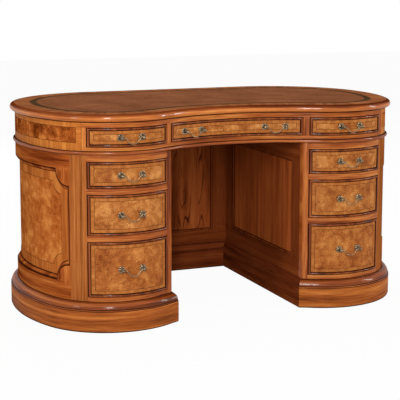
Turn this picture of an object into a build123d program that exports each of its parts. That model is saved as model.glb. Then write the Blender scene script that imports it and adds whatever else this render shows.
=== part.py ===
from build123d import *
from math import cos, hypot, radians, sin
import os

# A kidney-shaped writing desk on two pedestals, in millimetres. The front faces -Y, +X is to its
# right as the sitter sees the back wall, and the origin is on the floor under the middle.

os.makedirs("parts", exist_ok=True)

# Plan of the body face: tangent runs, clockwise from the middle of the back
back_half_length = 344
back_corner_radius = 388
back_corner_turn = 80.8
end_radius = 642
end_turn = 32.8
bow_radius = 266
front_slope = 30.4

# Heights, from the floor up
plinth_board_height = 78
plinth_moulding_height = 22
base_rail_height = 23
lower_drawer_height = 201
lower_rail_height = 22
middle_drawer_height = 148
upper_rail_height = 21
upper_drawer_height = 96
head_rail_height = 24
waist_board_thickness = 14
frieze_bottom_rail_height = 13
frieze_drawer_height = 70
frieze_top_rail_height = 18
top_board_thickness = 30

# Top board and leather
top_nose_projection = 19
top_arris_setback = 16
top_nose_height = 16
top_cove_setback = 14
leather_border = 77
leather_thickness = 2

# Mouldings
waist_projection = 9
plinth_projection = 27
kneehole_plinth_projection = 20
plinth_board_thickness = 20
plinth_cove_height = 12
ledge_width = 40

# Walls and frames
wall_thickness = 22
inner_frame_thickness = 18
board_thickness = 12
kneehole_half_width = 267
stile_width = 20
drawer_opening_width = 303
corner_strip_width = 18
back_recess = 61

# Curved panels in the pedestal ends and backs
panel_thickness = 6
panel_recess = 15
end_panel_stile = 54
end_panel_length = 633
middle_stile = 100
back_panel_stile = 66
panel_bottom_rail = 75
panel_top_rail = 57
indent_radius = 60

# Flat panels in the kneehole
flat_panel_thickness = 6
flat_panel_recess = 8
wall_front_stile = 97
wall_back_stile = 68
modesty_stile = 63
modesty_bottom_rail = 64
kneehole_bottom_rail = 79
kneehole_top_rail = 78

# Drawers
front_thickness = 20
front_rebate = 12
field_recess = 1
bead_width = 9
bead_projection = 3
bead_rounding = 3
drawer_gap = 1
running_gap = 0.3
side_thickness = 10
bottom_thickness = 6
bottom_lift = 4
side_headroom = 12
drawer_back_place = 140
runner_width = 20
guide_width = 12
guide_height = 16

# Handles
post_spacing = 80
post_reach = 20
head_radius = 6.5
neck_radius = 4
rose_radius = 12
rose_height = 2.5
rose_boss_radius = 8
rose_boss_height = 3
shank_radius = 3
shank_clearance = 0.1
shank_overhang = 5
nut_radius = 7
nut_height = 4
pin_radius = 2
pin_clearance = 0.05
pin_end_gap = 2.5
bail_radius = 2.75
bail_drop = 24.5
bail_shoulder = 6
bail_foot_half = 16
bail_shoulder_radius = 4
bail_foot_radius = 18
centre_handle_inset = 100

# Cuts run past what they cut
overrun = 50

# Heights worked out from the stack
body_base = plinth_board_height + plinth_moulding_height
lower_drawer_base = body_base + base_rail_height
middle_drawer_base = lower_drawer_base + lower_drawer_height + lower_rail_height
upper_drawer_base = middle_drawer_base + middle_drawer_height + upper_rail_height
pedestal_top = upper_drawer_base + upper_drawer_height + head_rail_height
frieze_base = pedestal_top + waist_board_thickness
frieze_drawer_base = frieze_base + frieze_bottom_rail_height
frieze_top = frieze_drawer_base + frieze_drawer_height + frieze_top_rail_height
desk_height = frieze_top + top_board_thickness

# Where the drawer openings lie across the front
drawer_inner_x = kneehole_half_width + stile_width
drawer_outer_x = drawer_inner_x + drawer_opening_width


def walk(runs, distance):
    """Place and heading at a distance along runs of (length, turn in degrees)."""
    x, y, heading = 0, 0, 0
    for length, turn in runs:
        step = min(distance, length)
        turned = radians(turn) * step / length
        if turn:
            radius = length / radians(turn)
            ahead, aside = radius * sin(turned), radius * (1 - cos(turned))
        else:
            ahead, aside = step, 0
        x += ahead * cos(heading) + aside * sin(heading)
        y += ahead * sin(heading) - aside * cos(heading)
        heading -= turned
        distance -= step
        if distance <= 0:
            break
    return x, y, heading


def run_of(radius, turn):
    """An arc as a run of (length, turn in degrees)."""
    return radius * radians(turn), turn


# The four runs of the right half, then the hollow across the front, then the left half
bow_turn = 180 + front_slope - back_corner_turn - end_turn
half_runs = [
    (back_half_length, 0),
    run_of(back_corner_radius, back_corner_turn),
    run_of(end_radius, end_turn),
    run_of(bow_radius, bow_turn),
]
half_length = sum(length for length, turn in half_runs)
hollow_radius = walk(half_runs, half_length)[0] / sin(radians(front_slope))
hollow_run = (hollow_radius * radians(2 * front_slope), -2 * front_slope)
runs = half_runs + [hollow_run] + half_runs[::-1]
perimeter = sum(length for length, turn in runs)

# The bow's foremost point and the start of the bow, as distances from the middle of the back
bow_start = sum(length for length, turn in half_runs[:3])
bow_peak = bow_start + bow_radius * radians(180 - back_corner_turn - end_turn)
back_face_y = -walk(runs, bow_peak)[1] / 2
front_middle = perimeter / 2
reach = perimeter / 2


def place(distance, out=0):
    """Point of the outline at a distance from the middle of the back, moved outwards."""
    x, y, heading = walk(runs, distance % perimeter)
    return x - out * sin(heading), y + back_face_y + out * cos(heading)


def distance_at(target_x, low, high):
    """Distance between low and high at which the outline crosses x, by halving."""
    falling = place(low)[0] > place(high)[0]
    for _ in range(60):
        middle = (low + high) / 2
        if (place(middle)[0] > target_x) == falling:
            low = middle
        else:
            high = middle
    return low


# Distances along the outline that the pieces share
drawer_edge = distance_at(drawer_outer_x, bow_start, bow_peak)
shell_front = drawer_edge - corner_strip_width
kneehole_back = distance_at(kneehole_half_width, 0, back_half_length)
kneehole_front = distance_at(kneehole_half_width, half_length, front_middle)
end_panel_front = shell_front - end_panel_stile
end_panel_back = end_panel_front - end_panel_length
back_panel_outer = end_panel_back - middle_stile
back_panel_inner = kneehole_back + back_panel_stile


def outwards(point):
    """How far a point of the front lies outside the body face."""
    if abs(point.X) > place(half_length)[0]:
        x, y = place(bow_start, -bow_radius)
        return hypot(abs(point.X) - x, point.Y - y) - bow_radius
    return hollow_radius - hypot(point.X, point.Y - place(front_middle, hollow_radius)[1])


def trace(start, end, out=0):
    """Draw the outline from start to end in the line being built."""
    for lap in (0, perimeter):
        run_start = lap
        for length, turn in runs:
            low, high = max(start, run_start), min(end, run_start + length)
            if high - low > 1e-6:
                if turn:
                    ThreePointArc(place(low, out), place((low + high) / 2, out), place(high, out))
                else:
                    Line(place(low, out), place(high, out))
            run_start += length


def block(low, high, mode=Mode.ADD):
    """Box between two corners, in the part being built."""
    with Locations(tuple((a + b) / 2 for a, b in zip(low, high))):
        Box(*[b - a for a, b in zip(low, high)], mode=mode)


def plan(level, outer, inner=None, low_x=-reach, high_x=reach, low_y=-reach, high_y=reach):
    """Face at a level: the outline at one offset less that at another, inside a rectangle."""
    with BuildSketch(Plane.XY.offset(level)) as face:
        with BuildLine():
            trace(0, perimeter, outer)
        make_face()
        if inner is not None:
            with BuildLine():
                trace(0, perimeter, inner)
            make_face(mode=Mode.SUBTRACT)
        with Locations(((low_x + high_x) / 2, (low_y + high_y) / 2)):
            Rectangle(high_x - low_x, high_y - low_y, mode=Mode.INTERSECT)
    return face.sketch


def band(level, start, end, outer, inner):
    """Face at a level: the strip along the outline from start to end, between two offsets."""
    with BuildSketch(Plane.XY.offset(level)) as face:
        with BuildLine():
            trace(start, end, outer)
            Line(place(end, outer), place(end, inner))
            trace(start, end, inner)
            Line(place(start, inner), place(start, outer))
        make_face()
    return face.sketch


def moulded_slab(base, height, inner, draw_profile):
    """Slab over the whole outline whose edge is a profile of (outwards, up) points."""
    with BuildPart() as slab:
        extrude(plan(base, inner), amount=height)
        start = 0
        for length, turn in runs:
            x, y = place(start)
            heading = walk(runs, start)[2]
            section = Plane(
                origin=(x, y, base),
                x_dir=(-sin(heading), cos(heading), 0),
                z_dir=(cos(heading), sin(heading), 0),
            )
            with BuildSketch(section):
                with BuildLine():
                    draw_profile(inner, height)
                make_face()
            if turn:
                centre = place(start, -length / radians(turn))
                revolve(
                    axis=Axis((*centre, 0), (0, 0, -1 if turn > 0 else 1)),
                    revolution_arc=abs(turn),
                )
            else:
                extrude(amount=length)
            start += length
    return slab


def finish(piece, name):
    """Label a finished piece and write its file."""
    piece.part.label = name
    export_step(piece.part, f"parts/{name}.step")


def finish_group(pieces, name):
    """Write pieces that share a node as separate solids."""
    group = Compound([solid for piece in pieces for solid in piece.part.solids()])
    group.label = name
    export_step(group, f"parts/{name}.step")


def twin_of(piece):
    """The piece's mirror image, on the left of the desk."""
    with BuildPart() as twin:
        mirror(piece.part, about=Plane.YZ)
    return twin


def finish_pair(pieces, name):
    """Write the right-hand pieces as one node, and their mirror images as the left one."""
    finish_group(pieces, name.format("right"))
    finish_group([twin_of(piece) for piece in pieces], name.format("left"))


def draw_top_edge(inner, height):
    """Bull nose over a cove, from the arris down to the frieze."""
    arris = top_nose_projection - top_arris_setback
    nose_base = height - top_nose_height
    foot = top_nose_projection - top_cove_setback
    Line((inner, 0), (inner, height))
    Line((inner, height), (arris, height))
    RadiusArc((arris, height), (top_nose_projection, nose_base), top_nose_height)
    RadiusArc((top_nose_projection, nose_base), (foot, 0), -top_nose_height)
    Line((foot, 0), (inner, 0))


def draw_waist_edge(inner, height):
    """Half-round edge of the waist board."""
    flat = waist_projection - height / 2
    Line((inner, 0), (inner, height))
    Line((inner, height), (flat, height))
    ThreePointArc((flat, height), (waist_projection, height / 2), (flat, 0))
    Line((flat, 0), (inner, 0))


def plinth_step(projection):
    """How far out the plinth moulding's ovolo gives way to its cove."""
    return projection * (plinth_moulding_height - plinth_cove_height) / plinth_moulding_height


def draw_plinth_edge(inner, height):
    """Plinth moulding: an ovolo on the plinth board under a cove up to the body."""
    step = plinth_step(plinth_projection)
    Line((inner, 0), (inner, height))
    Line((inner, height), (0, height))
    RadiusArc((0, height), (step, plinth_cove_height), -height)
    RadiusArc((step, plinth_cove_height), (plinth_projection, 0), height)
    Line((plinth_projection, 0), (inner, 0))


def make_top():
    """Top board with its moulded edge and the sunk ground for the leather."""
    board = moulded_slab(frieze_top, top_board_thickness, -leather_border, draw_top_edge)
    sunk = desk_height - leather_thickness
    leather_edge = top_nose_projection - leather_border
    with board:
        extrude(plan(sunk, leather_edge), amount=overrun, mode=Mode.SUBTRACT)
    finish(board, "top_board")
    with BuildPart() as leather:
        extrude(plan(sunk, leather_edge), amount=leather_thickness)
    finish(leather, "leather_inset")


def make_frieze():
    """The curved box under the top: front frame, ends, back and the dividers."""
    height = frieze_top - frieze_base
    with BuildPart() as frame:
        front = band(frieze_base, shell_front, perimeter - shell_front, 0, -wall_thickness)
        extrude(front, amount=height)
        for low_x, high_x in frieze_openings():
            block(
                (low_x, -reach, frieze_drawer_base),
                (high_x, 0, frieze_drawer_base + frieze_drawer_height),
                Mode.SUBTRACT,
            )
    finish(frame, "frieze_front_frame")
    with BuildPart() as end:
        extrude(band(frieze_base, back_half_length, shell_front, 0, -wall_thickness), amount=height)
    finish_pair([end], "frieze_end_{}")
    with BuildPart() as back:
        start = perimeter - back_half_length
        extrude(
            band(frieze_base, start, perimeter + back_half_length, 0, -wall_thickness),
            amount=height,
        )
    finish(back, "frieze_back")
    with BuildPart() as dividers:
        for side in (-1, 1):
            low_x, high_x = sorted((side * kneehole_half_width, side * drawer_inner_x))
            extrude(plan(frieze_base, -wall_thickness, None, low_x, high_x), amount=height)
    finish(dividers, "frieze_dividers")


def frieze_openings():
    """The three frieze drawers' openings, from left to right, as (low x, high x)."""
    return [
        (-drawer_outer_x, -drawer_inner_x),
        (-kneehole_half_width, kneehole_half_width),
        (drawer_inner_x, drawer_outer_x),
    ]


def pedestal_openings():
    """The three openings of a pedestal, from the top down, as (base, height)."""
    return [
        (upper_drawer_base, upper_drawer_height),
        (middle_drawer_base, middle_drawer_height),
        (lower_drawer_base, lower_drawer_height),
    ]


def make_waist():
    """Board between frieze and pedestals, with a half-round edge all round."""
    board = moulded_slab(pedestal_top, waist_board_thickness, -ledge_width, draw_waist_edge)
    finish(board, "waist_board")


def make_pedestal_front():
    """Bow frame with three drawer openings, and its mirror image."""
    height = pedestal_top - body_base
    with BuildPart() as frame:
        front = band(body_base, shell_front, kneehole_front + overrun, 0, -wall_thickness)
        extrude(front, amount=height)
        block(
            (-reach, -reach, body_base - overrun),
            (kneehole_half_width, reach, pedestal_top + overrun),
            Mode.SUBTRACT,
        )
        for base, opening in pedestal_openings():
            block((drawer_inner_x, -reach, base), (drawer_outer_x, 0, base + opening), Mode.SUBTRACT)
    finish_pair([frame], "pedestal_{}_front_frame")


def indented_panel(start, end, outer, inner):
    """Curved panel from start to end, with a hollow quarter round taken off each corner."""
    low, high = body_base + panel_bottom_rail, pedestal_top - panel_top_rail
    with BuildPart() as panel:
        extrude(band(low, start, end, outer, inner), amount=high - low)
        for distance in (start, end):
            heading = walk(runs, distance)[2]
            for level in (low, high):
                x, y = place(distance)
                corner = Plane(
                    origin=(x, y, level),
                    x_dir=(0, 0, 1),
                    z_dir=(-sin(heading), cos(heading), 0),
                )
                with Locations(corner):
                    Cylinder(indent_radius, 2 * wall_thickness + 2 * overrun, mode=Mode.SUBTRACT)
    return panel


def panel_spans():
    """Start and end of the back panel and the end panel along the outline."""
    return [(back_panel_inner, back_panel_outer), (end_panel_back, end_panel_front)]


def make_pedestal_shell():
    """Curved end and back of a pedestal, with its two panels let in."""
    height = pedestal_top - body_base
    with BuildPart() as shell:
        extrude(band(body_base, kneehole_back, shell_front, 0, -wall_thickness), amount=height)
        for start, end in panel_spans():
            opening = indented_panel(start, end, wall_thickness, -2 * wall_thickness)
            add(opening.part, mode=Mode.SUBTRACT)
    finish_pair([shell], "pedestal_{}_shell")
    with BuildPart() as panels:
        for start, end in panel_spans():
            add(indented_panel(start, end, -panel_recess, -panel_recess - panel_thickness).part)
    finish_pair([panels], "pedestal_{}_burr_panels")


def wall_opening():
    """Corners of the framed opening in a kneehole wall, as (low y, high y, low z, high z)."""
    front_y = place(kneehole_front)[1]
    return (
        front_y + wall_front_stile,
        back_face_y - back_recess - wall_back_stile,
        body_base + kneehole_bottom_rail,
        pedestal_top - kneehole_top_rail,
    )


def modesty_opening():
    """Corners of the framed opening behind the kneehole, as (half width, low z, high z)."""
    return (
        kneehole_half_width - modesty_stile,
        body_base + modesty_bottom_rail,
        pedestal_top - kneehole_top_rail,
    )


def make_kneehole():
    """Framed walls of the kneehole, the modesty frame behind it, and their panels."""
    height = pedestal_top - body_base
    low_y, high_y, low_z, high_z = wall_opening()
    inner_face = kneehole_half_width + inner_frame_thickness
    with BuildPart() as wall:
        extrude(
            plan(body_base, -wall_thickness, None, kneehole_half_width, inner_face),
            amount=height,
        )
        block((0, low_y, low_z), (reach, high_y, high_z), Mode.SUBTRACT)
    finish_pair([wall], "pedestal_{}_inner_frame")

    half_width, low_level, high_level = modesty_opening()
    face_y = back_face_y - back_recess
    with BuildPart() as modesty:
        block(
            (-kneehole_half_width, face_y, body_base),
            (kneehole_half_width, face_y + inner_frame_thickness, pedestal_top),
        )
        block((-half_width, 0, low_level), (half_width, reach, high_level), Mode.SUBTRACT)
    finish(modesty, "modesty_frame")

    near_x = kneehole_half_width + flat_panel_recess
    near_y = face_y + flat_panel_recess
    with BuildPart() as panels:
        block((near_x, low_y, low_z), (near_x + flat_panel_thickness, high_y, high_z))
        mirror(about=Plane.YZ)
        block(
            (-half_width, near_y, low_level),
            (half_width, near_y + flat_panel_thickness, high_level),
        )
    finish(panels, "kneehole_panels")


def make_pedestal_boards():
    """Bottom board and dust boards, which the drawers run on, in both pedestals."""
    inner_face = kneehole_half_width + inner_frame_thickness
    with BuildPart() as boards:
        for base, opening in pedestal_openings():
            level = base - board_thickness
            extrude(plan(level, -wall_thickness, None, inner_face), amount=board_thickness)
        mirror(about=Plane.YZ)
    finish(boards, "pedestal_boards")


def make_runners():
    """Bearers under the frieze drawers and a guide beside each outer drawer."""
    guide_edge = drawer_outer_x + guide_width
    bearer_height = frieze_bottom_rail_height
    with BuildPart() as runners:
        for low_x in (kneehole_half_width - runner_width, drawer_inner_x):
            face = plan(
                frieze_base, -wall_thickness, None, low_x, low_x + runner_width,
                high_y=drawer_back_place,
            )
            extrude(face, amount=bearer_height)
        foot = plan(
            frieze_base, -wall_thickness, None, drawer_outer_x - runner_width, guide_edge,
            high_y=drawer_back_place,
        )
        extrude(foot, amount=bearer_height)
        levels = [(frieze_base, bearer_height + guide_height)]
        levels += [(base, guide_height) for base, opening in pedestal_openings()]
        for level, rise in levels:
            guide = plan(
                level, -wall_thickness, None, drawer_outer_x, guide_edge,
                high_y=drawer_back_place,
            )
            extrude(guide, amount=rise)
        mirror(about=Plane.YZ)
    finish(runners, "drawer_runners")


def make_plinths():
    """Plinth and plinth moulding of each pedestal, and the plinth under the modesty frame."""
    moulding = moulded_slab(
        plinth_board_height, plinth_moulding_height, -ledge_width, draw_plinth_edge
    )
    with BuildPart() as side:
        with BuildSketch(Plane.XZ.offset(-reach)):
            with BuildLine():
                draw_kneehole_edge()
            make_face()
        extrude(amount=2 * reach)
    board_inner = plinth_projection - plinth_board_thickness
    board_outer_x = kneehole_half_width - kneehole_plinth_projection
    board_inner_x = board_outer_x + plinth_board_thickness
    with BuildPart() as moulding_ring:
        add(moulding.part)
        add(side.part, mode=Mode.INTERSECT)
        void = plan(
            plinth_board_height - overrun, -ledge_width, None, kneehole_half_width + ledge_width
        )
        extrude(void, amount=2 * overrun + plinth_moulding_height, mode=Mode.SUBTRACT)
    with BuildPart() as board:
        extrude(plan(0, plinth_projection, None, board_outer_x), amount=plinth_board_height)
        extrude(
            plan(0, board_inner, None, board_inner_x),
            amount=plinth_board_height,
            mode=Mode.SUBTRACT,
        )
    both = [moulding_ring, board]
    finish_pair(both, "plinth_{}")

    face_y = back_face_y - back_recess
    with BuildPart() as modesty:
        with BuildSketch(Plane.YZ.offset(-kneehole_half_width)):
            with BuildLine():
                near, far = face_y - kneehole_plinth_projection, face_y + inner_frame_thickness
                low, high = plinth_board_height, body_base
                cove = low + plinth_cove_height
                step = face_y - plinth_step(kneehole_plinth_projection)
                Polyline((far, 0), (near, 0), (near, low))
                RadiusArc((near, low), (step, cove), plinth_moulding_height)
                RadiusArc((step, cove), (face_y, high), -plinth_moulding_height)
                Polyline((face_y, high), (far, high), (far, 0))
            make_face()
        extrude(amount=2 * kneehole_half_width)
        for piece in both:
            add(piece.part, mode=Mode.SUBTRACT)
            add(mirror(piece.part, about=Plane.YZ, mode=Mode.PRIVATE), mode=Mode.SUBTRACT)
    finish(modesty, "modesty_plinth")


def draw_kneehole_edge():
    """Profile of the plinth moulding along the kneehole, in (x, z), with all to its right."""
    low, high = plinth_board_height, body_base
    toe = kneehole_half_width - kneehole_plinth_projection
    cove = low + plinth_cove_height
    step = kneehole_half_width - plinth_step(kneehole_plinth_projection)
    RadiusArc((toe, low), (step, cove), plinth_moulding_height)
    RadiusArc((step, cove), (kneehole_half_width, high), -plinth_moulding_height)
    Polyline((kneehole_half_width, high), (reach, high), (reach, low), (toe, low))


def handle_plane(distance, level, out, along=0):
    """Plane that faces outwards at a place of the front, with its Y up."""
    x, y = place(distance, out)
    heading = walk(runs, distance)[2]
    x -= along * cos(heading)
    y -= along * sin(heading)
    return Plane(
        origin=(x, y, level),
        x_dir=(-cos(heading), -sin(heading), 0),
        z_dir=(-sin(heading), cos(heading), 0),
    )


def post_places():
    """The two posts of a handle, along its own width from its middle."""
    return (-post_spacing / 2, post_spacing / 2)


def make_front(name, low_x, high_x, base, height, handles):
    """Veneered drawer front with its bead, and the holes for the handle posts."""
    left, right = low_x + drawer_gap, high_x - drawer_gap
    low, high = base + drawer_gap, base + height - drawer_gap
    inner_left, inner_right = left + bead_width, right - bead_width
    inner_low, inner_high = low + bead_width, high - bead_width
    with BuildPart() as board:
        extrude(
            plan(low, -front_rebate, -front_thickness, left, right, high_y=0),
            amount=high - low,
        )
        extrude(
            plan(inner_low, -field_recess, -front_rebate, inner_left, inner_right, high_y=0),
            amount=inner_high - inner_low,
        )
        for distance in handles:
            for along in post_places():
                with Locations(handle_plane(distance, base + height / 2, 0, along)):
                    Cylinder(
                        shank_radius + shank_clearance, 2 * front_thickness + overrun,
                        mode=Mode.SUBTRACT,
                    )
    with BuildPart() as bead:
        extrude(
            plan(low, bead_projection, -front_rebate, left, right, high_y=0), amount=high - low
        )
        block((inner_left, -reach, inner_low), (inner_right, 0, inner_high), Mode.SUBTRACT)
        outer = bead.edges().filter_by(lambda edge: outwards(edge @ 0.5) > bead_projection / 2)
        fillet(outer, bead_rounding)
    finish_group([board, bead], f"drawer_{name}_front")


def make_box(name, low_x, high_x, base, height):
    """Drawer box behind the front: two sides, a back and a bottom."""
    left, right = low_x + drawer_gap, high_x - drawer_gap
    low, high = base + running_gap, base + height - side_headroom
    inner_left, inner_right = left + side_thickness, right - side_thickness
    back_front_y = drawer_back_place - side_thickness
    with BuildPart() as sides:
        for start, end in ((left, inner_left), (inner_right, right)):
            face = plan(low, -front_thickness, None, start, end, high_y=drawer_back_place)
            extrude(face, amount=high - low)
    with BuildPart() as back:
        block((inner_left, back_front_y, low), (inner_right, drawer_back_place, high))
    with BuildPart() as bottom:
        face = plan(
            low + bottom_lift, -front_thickness, None, inner_left, inner_right,
            high_y=back_front_y,
        )
        extrude(face, amount=bottom_thickness)
    finish_group([sides, back, bottom], f"drawer_{name}_box")


def make_posts(name, level, handles):
    """Roses, posts and nuts of a drawer's handles."""
    with BuildPart() as roses:
        for distance in handles:
            for along in post_places():
                seat = handle_plane(distance, level, 0, along)
                with Locations(seat):
                    Cylinder(
                        rose_radius, rose_height + front_rebate,
                        align=(Align.CENTER, Align.CENTER, Align.MAX),
                    )
                with Locations(seat.offset(rose_height)):
                    Cylinder(rose_radius, front_rebate, align=(Align.CENTER, Align.CENTER, Align.MAX))
                    Cone(
                        rose_boss_radius, neck_radius, rose_boss_height,
                        align=(Align.CENTER, Align.CENTER, Align.MIN),
                    )
        extrude(plan(level - overrun, -field_recess), amount=2 * overrun, mode=Mode.SUBTRACT)
        for distance in handles:
            for along in post_places():
                head = handle_plane(distance, level, post_reach, along)
                with Locations(head):
                    Cylinder(neck_radius, post_reach - field_recess,
                             align=(Align.CENTER, Align.CENTER, Align.MAX))
                    Sphere(head_radius)
                    Cylinder(
                        shank_radius, post_reach + front_thickness + nut_height + shank_overhang,
                        align=(Align.CENTER, Align.CENTER, Align.MAX),
                    )
                    Cylinder(
                        pin_radius + pin_clearance, 2 * head_radius + overrun,
                        rotation=(0, 90, 0), mode=Mode.SUBTRACT,
                    )
    with BuildPart() as nuts:
        for distance in handles:
            for along in post_places():
                with Locations(handle_plane(distance, level, -front_thickness, along)):
                    Cylinder(nut_radius, nut_height + rose_radius,
                             align=(Align.CENTER, Align.CENTER, Align.CENTER))
        extrude(
            plan(level - overrun, overrun, -front_thickness), amount=2 * overrun,
            mode=Mode.SUBTRACT,
        )
        for distance in handles:
            for along in post_places():
                with Locations(handle_plane(distance, level, 0, along)):
                    Cylinder(shank_radius, 2 * post_reach + 2 * front_thickness + overrun,
                             mode=Mode.SUBTRACT)
    finish_group([roses, nuts], f"drawer_{name}_posts")


def make_bail(name, level, distance):
    """Swan-neck bail with a turned-out pin at each end, hanging from its posts."""
    pivot = handle_plane(distance, level, post_reach)
    end = post_spacing / 2 - head_radius - pin_end_gap
    shoulder = end - bail_shoulder
    with BuildPart() as bail:
        with BuildLine(pivot) as route:
            FilletPolyline(
                (-end, 0),
                (-shoulder, 0),
                (-bail_foot_half, -bail_drop),
                (bail_foot_half, -bail_drop),
                (shoulder, 0),
                (end, 0),
                radius=[bail_shoulder_radius, bail_foot_radius, bail_foot_radius,
                        bail_shoulder_radius],
            )
        with BuildSketch(Plane(origin=route.line @ 0, z_dir=route.line % 0)):
            Circle(bail_radius)
        sweep(path=route.line)
        for side in (-1, 1):
            with Locations(pivot.location * Location((side * end, 0, 0), (0, side * 90, 0))):
                Cylinder(
                    pin_radius, 2 * head_radius + pin_end_gap,
                    align=(Align.CENTER, Align.CENTER, Align.MIN),
                )
    finish(bail, f"bail_{name}")


def make_drawer(name, low_x, high_x, base, height, handles):
    """One drawer: its front, box, posts and bails."""
    level = base + height / 2
    make_front(name, low_x, high_x, base, height, handles)
    make_box(name, low_x, high_x, base, height)
    make_posts(name, level, handles)
    sides = [""] if len(handles) == 1 else ["_right", "_left"]
    for distance, side in zip(handles, sides):
        make_bail(name + side, level, distance)


def make_drawers():
    """All nine drawers. Each outer one has its handle at the bow's foremost point."""
    peaks = {"right": bow_peak, "left": perimeter - bow_peak}
    names = ["left", "centre", "right"]
    centre = distance_at(kneehole_half_width - centre_handle_inset, half_length, front_middle)
    for name, (low_x, high_x) in zip(names, frieze_openings()):
        handles = [centre, perimeter - centre] if name == "centre" else [peaks[name]]
        make_drawer(
            f"frieze_{name}", low_x, high_x, frieze_drawer_base, frieze_drawer_height, handles
        )
    for side, peak in peaks.items():
        low_x, high_x = sorted(
            (drawer_inner_x, drawer_outer_x) if side == "right"
            else (-drawer_outer_x, -drawer_inner_x)
        )
        for place_name, (base, height) in zip(("upper", "middle", "lower"), pedestal_openings()):
            make_drawer(f"{side}_{place_name}", low_x, high_x, base, height, [peak])


make_top()
make_frieze()
make_waist()
make_pedestal_front()
make_pedestal_shell()
make_kneehole()
make_pedestal_boards()
make_runners()
make_plinths()
make_drawers()
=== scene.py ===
"""Looks of a kidney-shaped writing desk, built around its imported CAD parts.

Every length is in metres, in the frame of the CAD: x to the right as the sitter sees the desk,
y to the back and z up. Grain places are pairs in metres too: across the fibres, then along them.
"""

import logging
from dataclasses import dataclass
from enum import Enum
from functools import cache
from math import asin, atan2, ceil, copysign, cos, dist, hypot, pi, radians, sin, sqrt, tan, tau
from typing import Any, Callable, Optional, Sequence, Union

import bmesh
import bpy
from mathutils import Matrix, Vector


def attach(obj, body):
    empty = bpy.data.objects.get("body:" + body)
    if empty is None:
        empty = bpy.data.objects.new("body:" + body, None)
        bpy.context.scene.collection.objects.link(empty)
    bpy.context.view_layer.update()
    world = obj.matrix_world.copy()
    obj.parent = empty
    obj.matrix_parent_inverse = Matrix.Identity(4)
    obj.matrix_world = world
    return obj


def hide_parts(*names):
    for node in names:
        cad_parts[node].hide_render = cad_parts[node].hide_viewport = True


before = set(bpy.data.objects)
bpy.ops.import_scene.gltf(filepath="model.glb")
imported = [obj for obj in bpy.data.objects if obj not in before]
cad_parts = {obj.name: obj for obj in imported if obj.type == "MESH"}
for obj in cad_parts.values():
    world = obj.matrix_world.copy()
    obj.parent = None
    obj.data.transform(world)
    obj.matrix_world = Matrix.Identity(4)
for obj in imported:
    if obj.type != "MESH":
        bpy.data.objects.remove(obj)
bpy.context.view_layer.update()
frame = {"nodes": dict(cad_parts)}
log = logging.getLogger("desk")

Point = tuple[float, float, float]
Spot = tuple[float, float]
Colour = tuple[float, float, float]
Surface = Callable[[float, float, float], Point]
Rows = Sequence[Sequence[Point]]
Places = Sequence[Sequence[Spot]]
Material = bpy.types.Material

STATION = 0.010
HALVINGS = 48
JOINT = 0.0002
EASE = 0.0005
MIDDLE = 0.5
SIDES = ((1, "right"), (-1, "left"))
UV_LAYER = "grain"


# Plan of the desk


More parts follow.
